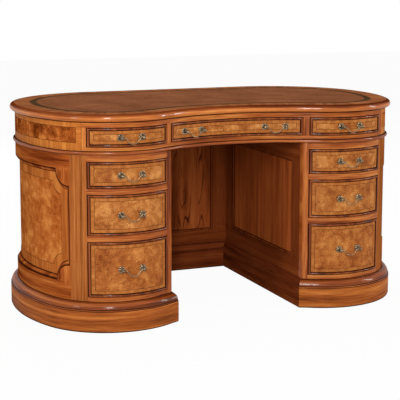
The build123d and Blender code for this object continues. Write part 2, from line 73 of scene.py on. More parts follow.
@dataclass
class Outline:
    """Body face in plan: tangent runs, clockwise from the middle of the back."""

    back_half_length: float = 0.344
    back_corner_radius: float = 0.388
    back_corner_turn: float = radians(80.8)
    end_radius: float = 0.642
    end_turn: float = radians(32.8)
    bow_radius: float = 0.266
    front_slope: float = radians(30.4)
    drawer_inner_x: float = 0.287
    drawer_outer_x: float = 0.590
    corner_strip: float = 0.018

    def __post_init__(self) -> None:
        """Work out the runs and the distances that the pieces share."""
        bow_turn = pi + self.front_slope - self.back_corner_turn - self.end_turn
        half = [
            (self.back_half_length, 0.0),
            (self.back_corner_radius * self.back_corner_turn, self.back_corner_turn),
            (self.end_radius * self.end_turn, self.end_turn),
            (self.bow_radius * bow_turn, bow_turn),
        ]
        self.half_length = sum(length for length, turn in half)
        self.bow_start = self.half_length - half[3][0]
        self.bow_peak = self.bow_start + self.bow_radius * (
            pi - self.back_corner_turn - self.end_turn
        )
        self.runs, self.starts, self.back_face_y = half, [], 0.0
        self.chain()
        hollow_radius = self.walk(self.half_length)[0] / sin(self.front_slope)
        self.back_face_y = -self.walk(self.bow_peak)[1] / 2
        hollow = (2 * hollow_radius * self.front_slope, -2 * self.front_slope)
        self.runs = half + [hollow] + half[::-1]
        self.perimeter = sum(length for length, turn in self.runs)
        self.front_middle = self.perimeter / 2
        self.chain()
        self.drawer_edge = self.distance_at(self.drawer_outer_x, 0.0)
        self.shell_front = self.drawer_edge - self.corner_strip

    def chain(self) -> None:
        """Keep where each run starts: distance, x, y and heading."""
        self.starts = []
        distance = x = y = heading = 0.0
        for length, turn in self.runs:
            self.starts.append((distance, x, y, heading))
            step_x, step_y = self.along(length, turn, length, heading)
            distance, x, y, heading = distance + length, x + step_x, y + step_y, heading - turn

    @staticmethod
    def along(length: float, turn: float, step: float, heading: float) -> Spot:
        """Offset in x and y after a step along a run.

        Args:
            length: the run's length.
            turn: how far the run turns clockwise.
            step: how far along it to go.
            heading: the heading at its start.

        Returns:
            The way gone in x and in y.
        """
        if turn:
            radius, turned = length / turn, turn * step / length
            ahead, aside = radius * sin(turned), radius * (1 - cos(turned))
        else:
            ahead, aside = step, 0.0
        return (
            ahead * cos(heading) + aside * sin(heading),
            ahead * sin(heading) - aside * cos(heading),
        )

    def walk(self, distance: float) -> tuple[float, float, float]:
        """Place and heading at a distance.

        Args:
            distance: metres clockwise from the middle of the back.

        Returns:
            x, y and the heading in radians.
        """
        if self.back_face_y:
            distance %= self.perimeter
        index = max(i for i, start in enumerate(self.starts) if start[0] <= distance + 1e-12)
        start, x, y, heading = self.starts[index]
        length, turn = self.runs[index]
        step_x, step_y = self.along(length, turn, distance - start, heading)
        return x + step_x, y + step_y, heading - turn * (distance - start) / length

    def place(self, distance: float, out: float = 0.0) -> Spot:
        """Point of the outline at a distance, moved outwards."""
        x, y, heading = self.walk(distance)
        return x - out * sin(heading), y + self.back_face_y + out * cos(heading)

    def distance_at(self, x: float, out: float) -> float:
        """Distance on the right half of the front at which an offset outline crosses x.

        Args:
            x: the x to cross, from 0 to the bow's outer side.
            out: how far outside the body face the line lies.

        Returns:
            The distance along the outline.
        """
        low, high = self.bow_start, self.front_middle
        for _ in range(HALVINGS):
            middle = (low + high) / 2
            if self.place(middle, out)[0] > x:
                low = middle
            else:
                high = middle
        return low

    def stations(self, low: float, high: float) -> list[float]:
        """Evenly spaced distances from low to high."""
        count = max(1, ceil(abs(high - low) / STATION))
        return [low + (high - low) * i / count for i in range(count + 1)]

    def all_round(self) -> list[float]:
        """Stations once round the desk, from the middle of the back."""
        return self.stations(0.0, self.perimeter)

    def carried(self, profile: Sequence[Spot]) -> list[list[Point]]:
        """Rows of points that carry the (out, z) points of a profile round the desk."""
        distances = self.all_round()
        return [[(*self.place(s, out), z) for s in distances] for out, z in profile]

    def on_body(self, side: int = 1) -> Surface:
        """Surface of the body face.

        Args:
            side: 1, or -1 to mirror it.

        Returns:
            A function of distance, height and offset outwards.
        """

        def surface(distance: float, z: float, out: float) -> Point:
            """Point on the body face."""
            x, y = self.place(distance, out)
            return side * x, y, z

        return surface

    def on_front(self) -> Surface:
        """Surface of the front between planes of equal x.

        Returns:
            A function of x, height and offset outwards.
        """

        @cache
        def depth(x: float, out: float) -> float:
            """y of the front at an x of its right half."""
            return self.place(self.distance_at(x, out), out)[1]

        def surface(x: float, z: float, out: float) -> Point:
            """Point on the front."""
            return x, depth(abs(x), out), z

        return surface

    def on_corner_strip(self, side: int) -> Surface:
        """Surface of the strip between the shell and the drawers.

        Args:
            side: 1 for the right strip, -1 for the left.

        Returns:
            A function of distance, height and offset outwards.
        """
        start, length = self.shell_front, self.drawer_edge - self.shell_front
        on_body = self.on_body(side)

        def surface(distance: float, z: float, out: float) -> Point:
            """Point on the strip, stretched to end at the drawers' plane."""
            reach = self.distance_at(self.drawer_outer_x, out) - start
            return on_body(start + (distance - start) / length * reach, z, out)

        return surface


OUTLINE = Outline()


def in_order(side: int, near: float, far: float) -> Spot:
    """Two x of the right half, on this side of the desk and in order."""
    low, high = sorted((side * near, side * far))
    return low, high


@dataclass(frozen=True)
class Heights:
    """Levels from the floor up."""

    plinth_board: float = 0.078
    body: float = 0.100
    pedestal_top: float = 0.635
    frieze: float = 0.649
    frieze_drawer: float = 0.662
    frieze_drawer_top: float = 0.732
    frieze_top: float = 0.750
    desk: float = 0.780


LEVELS = Heights()
DRAWER_ROWS = {"upper": (0.515, 0.611), "middle": (0.346, 0.494), "lower": (0.123, 0.324)}


# Shader maths


def operator(operation: str, swap: bool = False) -> Callable[["Value", "Number"], "Value"]:
    """Operator on values that adds a Math node.

    Args:
        operation: the node's operation.
        swap: whether the value stands on the right.

    Returns:
        The method for it.
    """

    def method(value: "Value", other: "Number") -> "Value":
        """Add the node."""
        return value.math(operation, other, swap=swap)

    return method


class Value:
    """A socket of a shader. Sums of values add their Math nodes."""

    def __init__(self, shader: "Shader", socket: Optional[bpy.types.NodeSocket]) -> None:
        """Wrap a socket of that shader."""
        self.shader = shader
        self.socket = socket

    def math(self, operation: str, *others: "Number", swap: bool = False) -> "Value":
        """Math node on this value and others.

        Args:
            operation: the Math node's operation.
            others: the other operands.
            swap: whether this value is the second operand.

        Returns:
            The result.
        """
        operands = [self, *others]
        if swap:
            operands.reverse()
        return self.shader.node(
            "Math", {"operation": operation}, dict(enumerate(operands))
        )

    __add__ = operator("ADD")
    __radd__ = operator("ADD", swap=True)
    __sub__ = operator("SUBTRACT")
    __rsub__ = operator("SUBTRACT", swap=True)
    __mul__ = operator("MULTIPLY")
    __rmul__ = operator("MULTIPLY", swap=True)
    __truediv__ = operator("DIVIDE")
    __pow__ = operator("POWER")

    def swing(self, weight: float) -> "Value":
        """A value from 0 to 1, taken about its middle and weighted."""
        return (self - MIDDLE) * weight

    def step(self, low: float, high: float) -> "Value":
        """Smooth climb from 0 to 1.

        Args:
            low: where the climb starts.
            high: where it ends.

        Returns:
            0 below low and 1 above high.
        """
        return self.shader.node(
            "MapRange",
            {"interpolation_type": "SMOOTHSTEP"},
            {"Value": self, "From Min": low, "From Max": high},
        )


Number = Union[Value, float]


@dataclass(frozen=True)
class Figure:
    """One noise of a finish: how it lies on the grain and how it is drawn."""

    across: float
    along: float
    seed: float
    detail: float = 3.0
    distortion: float = 0.0
    scale: float = 1.0


class Shader:
    """A node tree, with one method that adds any node."""

    seed_slant: float = 0.37

    def __init__(self, owner: Union[Material, bpy.types.World]) -> None:
        """Empty the node tree of a material or a world.

        Args:
            owner: what the nodes belong to.
        """
        owner.use_nodes = True
        self.owner = owner
        self.tree = owner.node_tree
        self.tree.nodes.clear()

    @classmethod
    def named(cls, name: str) -> "Shader":
        """Start a new material of that name."""
        return cls(bpy.data.materials.new(name))

    def node(
        self,
        kind: str,
        settings: Optional[dict[str, Any]] = None,
        sockets: Optional[dict[Union[str, int], Any]] = None,
        output: Union[str, int] = 0,
    ) -> Value:
        """Add a node.

        Args:
            kind: the node's type, without the ShaderNode that it starts with.
            settings: properties, set first. "stops" fills a colour ramp.
            sockets: values or links of its inputs, by name or number.
            output: the output to return.

        Returns:
            That output, with no socket if the node has none.
        """
        node = self.tree.nodes.new(f"ShaderNode{kind}")
        for name, setting in (settings or {}).items():
            if name == "stops":
                elements = node.color_ramp.elements
                while len(elements) < len(setting):
                    elements.new(1.0)
                for element, (position, colour) in zip(elements, setting):
                    element.position = position
                    element.color = (*colour, 1.0)
            else:
                setattr(node, name, setting)
        for name, value in (sockets or {}).items():
            if isinstance(value, Value):
                self.tree.links.new(value.socket, node.inputs[name])
            elif isinstance(value, tuple) and len(value) == 3 and node.inputs[name].type == "RGBA":
                node.inputs[name].default_value = (*value, 1.0)
            else:
                node.inputs[name].default_value = value
        return Value(self, node.outputs[output] if node.outputs else None)

    def grain(self, across: float, along: float, seed: float = 0.0) -> Value:
        """Place on the grain, scaled.

        Args:
            across: scale across the fibres.
            along: scale along them.
            seed: shift that tells two patterns apart.

        Returns:
            A vector for a texture.
        """
        place = self.node("UVMap", {"uv_map": UV_LAYER})
        return self.node(
            "VectorMath",
            {"operation": "MULTIPLY_ADD"},
            {0: place, 1: (across, along, 1.0), 2: (seed, self.seed_slant * seed, 0.0)},
        )

    def noise(self, place: Value, detail: float, distortion: float = 0.0, scale: float = 1.0,
              output: str = "Fac") -> Value:
        """Noise at a place.

        Args:
            place: where it is taken.
            detail: how many finer layers it has.
            distortion: how much it swirls.
            scale: how fine it is.
            output: "Fac" for a value from 0 to 1, "Color" for three of them.

        Returns:
            The noise.
        """
        return self.node(
            "TexNoise",
            {},
            {"Vector": place, "Scale": scale, "Detail": detail, "Distortion": distortion},
            output,
        )

    def drawn(self, figure: Figure, output: str = "Fac") -> Value:
        """Noise that lies on the grain."""
        place = self.grain(figure.across, figure.along, figure.seed)
        return self.noise(place, figure.detail, figure.distortion, figure.scale, output)

    def cells(self, place: Value, scale: float, feature: str = "F1") -> Value:
        """Distances in a pattern of cells.

        Args:
            place: where it is taken.
            scale: how fine the cells are.
            feature: "F1" from their middles, "DISTANCE_TO_EDGE" from their edges.

        Returns:
            The distance.
        """
        return self.node(
            "TexVoronoi", {"feature": feature}, {"Vector": place, "Scale": scale},
            "Distance",
        )

    def place(self, output: str = "Object") -> Value:
        """Coordinates of the point being shaded."""
        return self.node("TexCoord", {}, {}, output)

    def axis(self, vector: Value, name: str) -> Value:
        """One component of a vector."""
        return self.node("SeparateXYZ", {}, {0: vector}, name)

    def ramp(self, level: Value, low: float, *colours: Colour) -> Value:
        """Colours laid evenly over a level.

        Args:
            level: what picks the colour.
            low: level of the first colour, and how far from 1 the last one is.
            colours: two or three colours.

        Returns:
            The colour.
        """
        high = 1 - low
        places = (low, high) if len(colours) == 2 else (low, MIDDLE, high)
        stops = list(zip(places, colours))
        return self.node("ValToRGB", {"stops": stops}, {"Fac": level})

    def mix(self, factor: Number, low: Any, high: Any, blend: str = "MIX") -> Value:
        """Blend of two colours.

        Args:
            factor: 0 gives low and 1 gives high.
            low: the first colour.
            high: the second colour.
            blend: the way they blend.

        Returns:
            The colour.
        """
        return self.node(
            "Mix",
            {"data_type": "RGBA", "blend_type": blend, "clamp_factor": True},
            {0: factor, 6: low, 7: high},
            output=2,
        )

    def bump(self, height: Value, distance: float, strength: float = 1.0) -> Value:
        """Normal tilted by a height.

        Args:
            height: from 0 to 1.
            distance: how high 1 is, in metres.
            strength: how much of it counts.

        Returns:
            The normal.
        """
        return self.node(
            "Bump", {}, {"Height": height, "Distance": distance, "Strength": strength}
        )

    def finish(self, **sockets: Any) -> Material:
        """Close the material with a Principled shader.

        Args:
            sockets: its inputs, with underscores for the spaces in their names.

        Returns:
            The material.
        """
        named = {name.replace("_", " "): value for name, value in sockets.items()}
        surface = self.node("BsdfPrincipled", {}, named)
        self.node("OutputMaterial", {}, {"Surface": surface})
        return self.owner


def tone(red: int, green: int, blue: int) -> Colour:
    """Colour as a shader takes it.

    Args:
        red: from 0 to 255, as a screen shows it.
        green: the same.
        blue: the same.

    Returns:
        The colour, linear, from 0 to 1.
    """

    def linear(level: int) -> float:
        """One channel, freed of the screen's curve."""
        share = level / 255
        return share / 12.92 if share <= 0.04045 else ((share + 0.055) / 1.055) ** 2.4

    return linear(red), linear(green), linear(blue)


# Finishes


@dataclass(frozen=True)
class Wood:
    """Polished wood with straight fibres."""

    name: str
    dark: Colour
    middle: Colour
    light: Colour
    fibres: float = 420.0
    fibre_length: float = 11.0
    bands: float = 34.0
    band_length: float = 1.6
    pore_figure: Figure = Figure(1700.0, 70.0, seed=1.3, detail=2.0)
    patch_figure: Figure = Figure(7.0, 3.5, seed=5.9, detail=2.0)
    line_figure: Figure = Figure(13.0, 1.3, seed=4.7, detail=1.0, distortion=0.6)
    fade_figure: Figure = Figure(20.0, 4.0, seed=9.1, detail=1.0)
    contrast: float = 1.0
    band_weight: float = 1.1
    fibre_weight: float = 0.75
    patch_weight: float = 0.30
    ramp_start: float = 0.18
    pores: float = 0.35
    pore_edge: Spot = (0.58, 0.72)
    lines: float = 0.0
    line_count: int = 13
    line_edge: Spot = (0.035, 0.115)
    line_fade: Spot = (0.35, 0.6)
    roughness: float = 0.42
    patch_matt: float = 0.14
    pore_matt: float = 0.2
    coat: float = 0.0
    coat_roughness: float = 0.10
    fibre_rise: float = 0.6
    pore_rise: float = 0.4
    relief: float = 0.00012

    def material(self) -> Material:
        """Make the material.

        Returns:
            The material.
        """
        shader = Shader.named(self.name)
        bands = shader.drawn(Figure(self.bands, self.band_length, seed=3.1, distortion=0.4))
        fibres = shader.drawn(
            Figure(self.fibres, self.fibre_length, seed=7.7, detail=4.0, distortion=0.15)
        )
        pores = shader.drawn(self.pore_figure)
        patches = shader.drawn(self.patch_figure)
        figure = (
            bands.swing(self.band_weight)
            + fibres.swing(self.fibre_weight)
            + patches.swing(self.patch_weight)
        )
        level = MIDDLE + figure * self.contrast
        colour = shader.ramp(level, self.ramp_start, self.dark, self.middle, self.light)
        pits = pores.step(*self.pore_edge) * self.pores
        colour = shader.mix(pits, colour, self.dark)
        if self.lines:
            colour = shader.mix(self.contours(shader), colour, self.dark)
        height = fibres * self.fibre_rise + (1 - pits) * self.pore_rise
        return shader.finish(
            Base_Color=colour,
            Roughness=self.roughness + patches.swing(self.patch_matt) + pits * self.pore_matt,
            Coat_Weight=self.coat,
            Coat_Roughness=self.coat_roughness,
            Specular_IOR_Level=0.0,
            Normal=shader.bump(height, self.relief),
        )

    def contours(self, shader: Shader) -> Value:
        """Dark growth lines, which fade in and out.

        Args:
            shader: the material being made.

        Returns:
            How dark they are, from 0 to 1.
        """
        contour = (shader.drawn(self.line_figure) * self.line_count).math("PINGPONG", MIDDLE)
        shown = shader.drawn(self.fade_figure).step(*self.line_fade)
        return (1 - contour.step(*self.line_edge)) * shown * self.lines


@dataclass(frozen=True)
class Burr:
    """Polished burr veneer: swirled figure with small dark eyes."""

    name: str
    dark: Colour
    middle: Colour
    light: Colour
    eye: Colour
    bend_figure: Figure = Figure(1.0, 1.0, seed=2.3, detail=2.0, scale=16.0)
    bend_reach: Point = (0.020, 0.020, 0.0)
    swirl: float = 46.0
    fine: float = 5.0
    fine_weight: float = 0.8
    figure: float = 1.0
    cloud_figure: Figure = Figure(1.0, 1.0, seed=8.8, distortion=0.3, scale=13.0)
    clouds: float = 0.9
    ramp_start: float = 0.18
    cluster_figure: Figure = Figure(1.0, 1.0, seed=4.4, detail=2.0, distortion=0.8, scale=24.0)
    fleck_scale: float = 95.0
    fleck_edge: Spot = (0.10, 0.30)
    flecks: float = 0.8
    flecked: Spot = (0.50, 0.60)
    roughness: float = 0.40
    swirl_matt: float = 0.15
    fleck_matt: float = 0.1
    coat: float = 0.0
    coat_roughness: float = 0.24
    rises: tuple[float, float, float] = (0.5, 0.3, 0.4)
    relief: float = 0.00010

    def material(self) -> Material:
        """Make the material.

        Returns:
            The material.
        """
        shader = Shader.named(self.name)
        bend = shader.drawn(self.bend_figure, "Color")
        place = shader.node(
            "VectorMath", {"operation": "MULTIPLY_ADD"},
            {0: bend, 1: self.bend_reach, 2: shader.grain(1.0, 1.0)},
        )
        swirl = shader.noise(place, detail=5.0, distortion=0.3, scale=self.swirl)
        fine = shader.noise(place, detail=4.0, distortion=0.4, scale=self.swirl * self.fine)
        clouds = shader.drawn(self.cloud_figure)
        level = (
            MIDDLE
            + swirl.swing(self.figure)
            + fine.swing(self.fine_weight) * self.figure
            + clouds.swing(self.clouds)
        )
        colour = shader.ramp(level, self.ramp_start, self.dark, self.middle, self.light)
        eyes = 1 - shader.cells(place, self.fleck_scale).step(*self.fleck_edge)
        clusters = shader.drawn(self.cluster_figure)
        flecks = eyes * clusters.step(*self.flecked) * self.flecks
        colour = shader.mix(flecks, colour, self.eye)
        swirl_rise, fine_rise, fleck_depth = self.rises
        height = swirl * swirl_rise + fine * fine_rise - flecks * fleck_depth
        return shader.finish(
            Base_Color=colour,
            Roughness=self.roughness + swirl.swing(self.swirl_matt) + flecks * self.fleck_matt,
            Coat_Weight=self.coat,
            Coat_Roughness=self.coat_roughness,
            Specular_IOR_Level=0.0,
            Normal=shader.bump(height, self.relief),
        )


@dataclass(frozen=True)
class Carcass:
    """Plain dry wood of the hidden boards, dressed on the CAD nodes."""

    name: str
    dark: Colour
    light: Colour
    along_y: Point = (170.0, 5.0, 170.0)
    along_x: Point = (5.0, 170.0, 170.0)
    facing_y: Spot = (0.6, 0.8)
    broad_scale: float = 0.18
    fibre_weight: float = 0.9
    broad_weight: float = 1.0
    ramp_start: float = 0.2
    roughness: float = 0.66
    fibre_matt: float = 0.2
    gloss: float = 0.25
    relief: float = 0.00015

    def material(self) -> Material:
        """Make the material. Fibres run along y, or along x in a face that looks along y.

        Returns:
            The material.
        """
        shader = Shader.named(self.name)
        turned = shader.axis(shader.place("Normal"), "Y").math("ABSOLUTE").step(*self.facing_y)
        stretch = shader.node(
            "Mix", {"data_type": "VECTOR"},
            {0: turned, 4: self.along_y, 5: self.along_x}, output=1,
        )
        grain = shader.node(
            "VectorMath", {"operation": "MULTIPLY"}, {0: shader.place(), 1: stretch}
        )
        fibres = shader.noise(grain, detail=4.0, distortion=0.2)
        broad = shader.noise(grain, detail=2.0, distortion=0.6, scale=self.broad_scale)
        level = MIDDLE + fibres.swing(self.fibre_weight) + broad.swing(self.broad_weight)
        return shader.finish(
            Base_Color=shader.ramp(level, self.ramp_start, self.dark, self.light),
            Roughness=self.roughness + fibres.swing(self.fibre_matt),
            Specular_IOR_Level=self.gloss,
            Normal=shader.bump(fibres, self.relief),
        )


@dataclass(frozen=True)
class Hide:
    """Waxed leather, with blind and faded gilt tooling where tooled is more than 0."""

    name: str
    dark: Colour
    light: Colour
    tooled: float = 0.0
    pebble_scale: float = 620.0
    pebble_edge: Spot = (0.0, 0.12)
    pebble_shade: float = 0.12
    cloud_figure: Figure = Figure(1.0, 1.0, seed=1.9, detail=4.0, distortion=0.5, scale=7.0)
    cloud_weight: float = 0.9
    worn_figure: Figure = Figure(1.0, 1.0, seed=6.1, distortion=0.2, scale=60.0)
    worn_weight: float = 0.5
    ramp_start: float = 0.2
    roughness: float = 0.55
    cloud_matt: float = 0.2
    pebble_matt: float = 0.1
    pebble_rise: float = 0.5
    relief: float = 0.00020
    relief_strength: float = 0.8
    gilt: Colour = (0.30, 0.20, 0.09)
    gilt_left: Spot = (0.35, 0.5)
    repeat: float = 0.026
    band_middle: float = -0.0715
    band_half: float = 0.0098
    wave_share: float = 0.45
    stem_edge: Spot = (0.0005, 0.0011)
    line_edge: Spot = (0.0004, 0.0009)
    bud_edge: Spot = (0.0000018, 0.0000042)
    bud_stretch: float = 0.9

    def material(self) -> Material:
        """Make the material.

        Returns:
            The material.
        """
        shader = Shader.named(self.name)
        cells = shader.cells(shader.grain(1.0, 1.0), self.pebble_scale, "DISTANCE_TO_EDGE")
        pebble = cells.step(*self.pebble_edge)
        cloud, worn = shader.drawn(self.cloud_figure), shader.drawn(self.worn_figure)
        level = MIDDLE + cloud.swing(self.cloud_weight) + worn.swing(self.worn_weight)
        level = level - (1 - pebble) * self.pebble_shade
        colour = shader.ramp(level, self.ramp_start, self.dark, self.light)
        height = pebble * self.pebble_rise
        if self.tooled:
            pressed = self.tooling(shader)
            least, more = self.gilt_left
            colour = shader.mix(pressed * (least + worn * more) * self.tooled, colour, self.gilt)
            height = height - pressed
        matt = cloud.swing(self.cloud_matt)
        return shader.finish(
            Base_Color=colour,
            Roughness=self.roughness + matt + (1 - pebble) * self.pebble_matt,
            Specular_IOR_Level=0.0,
            Normal=shader.bump(height, self.relief, self.relief_strength),
        )

    def tooling(self, shader: Shader) -> Value:
        """Mask of the pressed lines and the row of scrolls between them.

        Args:
            shader: the material being made.

        Returns:
            1 where the tool has pressed.
        """
        place = shader.node("UVMap", {"uv_map": UV_LAYER})
        across = shader.axis(place, "X") - self.band_middle
        along = shader.axis(place, "Y") / self.repeat
        wave = (along * tau).math("SINE") * (self.band_half * self.wave_share)
        stem = 1 - (across - wave).math("ABSOLUTE").step(*self.stem_edge)
        dots = (along * 2).math("PINGPONG", MIDDLE) - MIDDLE / 2
        bud = (dots * self.repeat * self.bud_stretch) ** 2 + (across + wave) ** 2
        buds = 1 - bud.step(*self.bud_edge)
        from_line = (across.math("ABSOLUTE") - self.band_half).math("ABSOLUTE")
        lines = 1 - from_line.step(*self.line_edge)
        return stem.math("MAXIMUM", buds).math("MAXIMUM", lines)


@dataclass(frozen=True)
class Brass:
    """Old lacquered brass, dark in the hollows and rubbed on the crowns."""

    name: str
    dark: Colour
    bright: Colour
    rubbed: float = 0.5
    stain_scale: float = 130.0
    fine_scale: float = 900.0
    stain_reach: float = 0.06
    crown_edge: Spot = (0.47, 0.56)
    stain_cover: float = 0.6
    bright_edge: Spot = (0.25, 0.95)
    roughness: float = 0.46
    bright_gloss: float = 0.16
    fine_matt: float = 0.1
    stain_rise: float = 0.7
    fine_rise: float = 0.3
    relief: float = 0.00008

    def material(self) -> Material:
        """Make the material.

        Returns:
            The material.
        """
        shader = Shader.named(self.name)
        place = shader.place()
        stain = shader.noise(place, detail=4.0, distortion=0.6, scale=self.stain_scale)
        fine = shader.noise(place, detail=3.0, scale=self.fine_scale)
        worn = shader.node("NewGeometry", {}, {}, output="Pointiness")
        crown = (worn + stain.swing(self.stain_reach)).step(*self.crown_edge)
        level = crown * self.rubbed + stain * (1 - self.rubbed * self.stain_cover)
        colour = shader.mix(level.step(*self.bright_edge), self.dark, self.bright)
        height = stain * self.stain_rise + fine * self.fine_rise
        return shader.finish(
            Base_Color=colour,
            Metallic=1.0,
            Roughness=self.roughness - level * self.bright_gloss + fine.swing(self.fine_matt),
            Normal=shader.bump(height, self.relief),
        )


class Dress(Enum):
    """Finishes of the desk."""

    FRAME = Wood(
        "frame_wood", tone(98, 38, 12), tone(154, 77, 31), tone(190, 114, 54), contrast=1.2,
    )
    RAIL = Wood(
        "rail_wood", tone(92, 36, 11), tone(154, 77, 30), tone(196, 120, 56), contrast=1.3,
        coat=0.30, coat_roughness=0.24,
    )
    APRON = Wood(
        "apron_wood", tone(100, 42, 13), tone(162, 84, 33), tone(202, 128, 60), contrast=1.3,
        coat=0.25, coat_roughness=0.24,
    )
    STRIP = Wood(
        "strip_wood", tone(104, 48, 18), tone(154, 87, 40), tone(186, 116, 58), bands=60.0,
        contrast=0.85,
    )
    # Lighter copy of the moulding wood, with more coat, for the front of the top's nose: painted
    # light.
    NOSE = Wood(
        "nose_wood", tone(116, 54, 18), tone(190, 105, 42), tone(222, 148, 72),
        coat=0.50, coat_roughness=0.18, roughness=0.36,
    )
    MOULDING = Wood(
        "moulding_wood", tone(80, 32, 10), tone(144, 70, 27), tone(190, 112, 50),
        coat=0.38, coat_roughness=0.18, roughness=0.36,
    )
    # Darker copy of the moulding wood, on the top's upper round and on flanks beside the painted
    # shade: painted half shade.
    PAINTED_HALF_SHADE = Wood("painted_half_shade_wood", tone(70, 28, 10), tone(112, 50, 20), tone(146, 74, 34))
    PLINTH = Wood(
        "plinth_wood", tone(80, 34, 12), tone(158, 83, 34), tone(204, 126, 60), bands=40.0,
        contrast=1.0, coat=0.10, coat_roughness=0.24,
    )
    # Darker copy of the plinth wood for the plinth's sides inside the kneehole: painted shade.
    SHADED_KNEEHOLE_PLINTH = Wood(
        "kneehole_plinth_painted_shade", tone(62, 24, 9), tone(108, 48, 21), tone(138, 72, 35), bands=40.0,
    )
    BEAD = Wood(
        "bead_wood", tone(62, 25, 8), tone(118, 55, 20), tone(160, 88, 40),
        coat=0.34, coat_roughness=0.18, roughness=0.36,
    )
    TOP = Wood("top_wood", tone(108, 56, 30), tone(148, 88, 53), tone(174, 112, 70))
    # Near-black wood for quirks, grooves, gaps, cove feet and bead flanks: painted shade where
    # shadow falls.
    PAINTED_SHADE = Wood("painted_shade_wood", tone(30, 12, 5), tone(52, 22, 9), tone(76, 34, 15), roughness=0.5)
    CROSSBAND = Wood(
        "crossband", tone(120, 56, 18), tone(178, 101, 40), tone(216, 144, 66),
        fibres=300.0, fibre_length=16.0, bands=60.0, contrast=0.6, coat=0.10, coat_roughness=0.24,
    )
    BAND = Wood(
        "drawer_band", tone(118, 60, 22), tone(166, 97, 43), tone(196, 130, 66),
        fibres=300.0, fibre_length=16.0, bands=60.0, contrast=0.6, coat=0.15, coat_roughness=0.24,
    )
    BORDER = Wood("panel_border", tone(126, 58, 20), tone(170, 94, 40), tone(200, 126, 60))
    STRINGING = Wood("stringing", tone(40, 18, 8), tone(66, 32, 14), tone(90, 48, 22))
    BURR = Burr(
        "burr_veneer", tone(124, 61, 22), tone(166, 99, 45), tone(204, 140, 76), tone(84, 36, 14),
        figure=0.9, clouds=1.0, coat=0.15,
    )
    SPECKLED_BURR = Burr(
        "speckled_burr", tone(122, 58, 20), tone(162, 92, 40), tone(196, 128, 64),
        tone(72, 30, 12), figure=0.9, clouds=1.0, fleck_scale=120.0, flecks=0.9,
        flecked=(0.40, 0.54), coat=0.15,
    )
    PANEL_BURR = Burr(
        "panel_burr", tone(138, 62, 20), tone(176, 97, 41), tone(208, 134, 68),
        tone(90, 40, 14), figure=0.8, clouds=1.1,
    )
    FRIEZE_BURR = Burr(
        "frieze_burr", tone(96, 40, 12), tone(152, 76, 29), tone(196, 118, 54),
        tone(80, 32, 12), clouds=1.5,
    )
    KNEEHOLE = Wood(
        "kneehole_wood", tone(92, 38, 14), tone(150, 73, 32), tone(178, 98, 47), roughness=0.46,
        contrast=0.8,
    )
    KNEEHOLE_FRAME = Wood(
        "kneehole_frame", tone(72, 29, 10), tone(116, 54, 23), tone(144, 76, 36), roughness=0.46,
        contrast=0.8,
    )
    KNEEHOLE_PANEL = Wood(
        "kneehole_panel", tone(56, 21, 7), tone(144, 70, 31), tone(180, 102, 50),
        roughness=0.46, bands=22.0, contrast=0.9, lines=0.9,
    )
    CARCASS = Carcass("carcass_wood", tone(162, 108, 64), tone(214, 166, 114))
    LEATHER = Hide("leather", tone(112, 67, 42), tone(152, 95, 64))
    TOOLING = Hide("tooled_leather", tone(58, 42, 26), tone(84, 60, 38), tooled=0.45)
    BRASS = Brass("brass", tone(22, 17, 12), tone(160, 138, 110))
    BAIL = Brass("bail_brass", tone(38, 28, 18), tone(150, 126, 96), rubbed=0.6)


class Grain(Enum):
    """How the fibres lie in a strip of a plate."""

    UPRIGHT = "upright"
    LEVEL = "level"
    CROSSBAND = "crossband"
    FRAMED = "framed"


MATERIALS: dict[Dress, Material] = {}


def material_of(dress: Dress) -> Material:
    """Material of a finish, made once.

    Args:
        dress: the finish.

    Returns:
        Its material.
    """
    if dress not in MATERIALS:
        MATERIALS[dress] = dress.value.material()
    return MATERIALS[dress]


# Meshes


@dataclass(frozen=True)
class Hoop:
    """One ring of a plate, as (u, z) spots at an offset, and the strip that leads to it."""

    spots: Sequence[Spot]
    out: float
    dress: Dress
    grain: Grain = Grain.UPRIGHT
    steps: int = 1


def between(low: Sequence[float], high: Sequence[float], share: float) -> tuple[float, ...]:
    """Spot or point that lies a share of the way from one to another."""
    return tuple(a + (b - a) * share for a, b in zip(low, high))


class Corner(Enum):
    """Shape of a ring's corners."""

    SQUARE = "square"
    INDENTED = "indented"


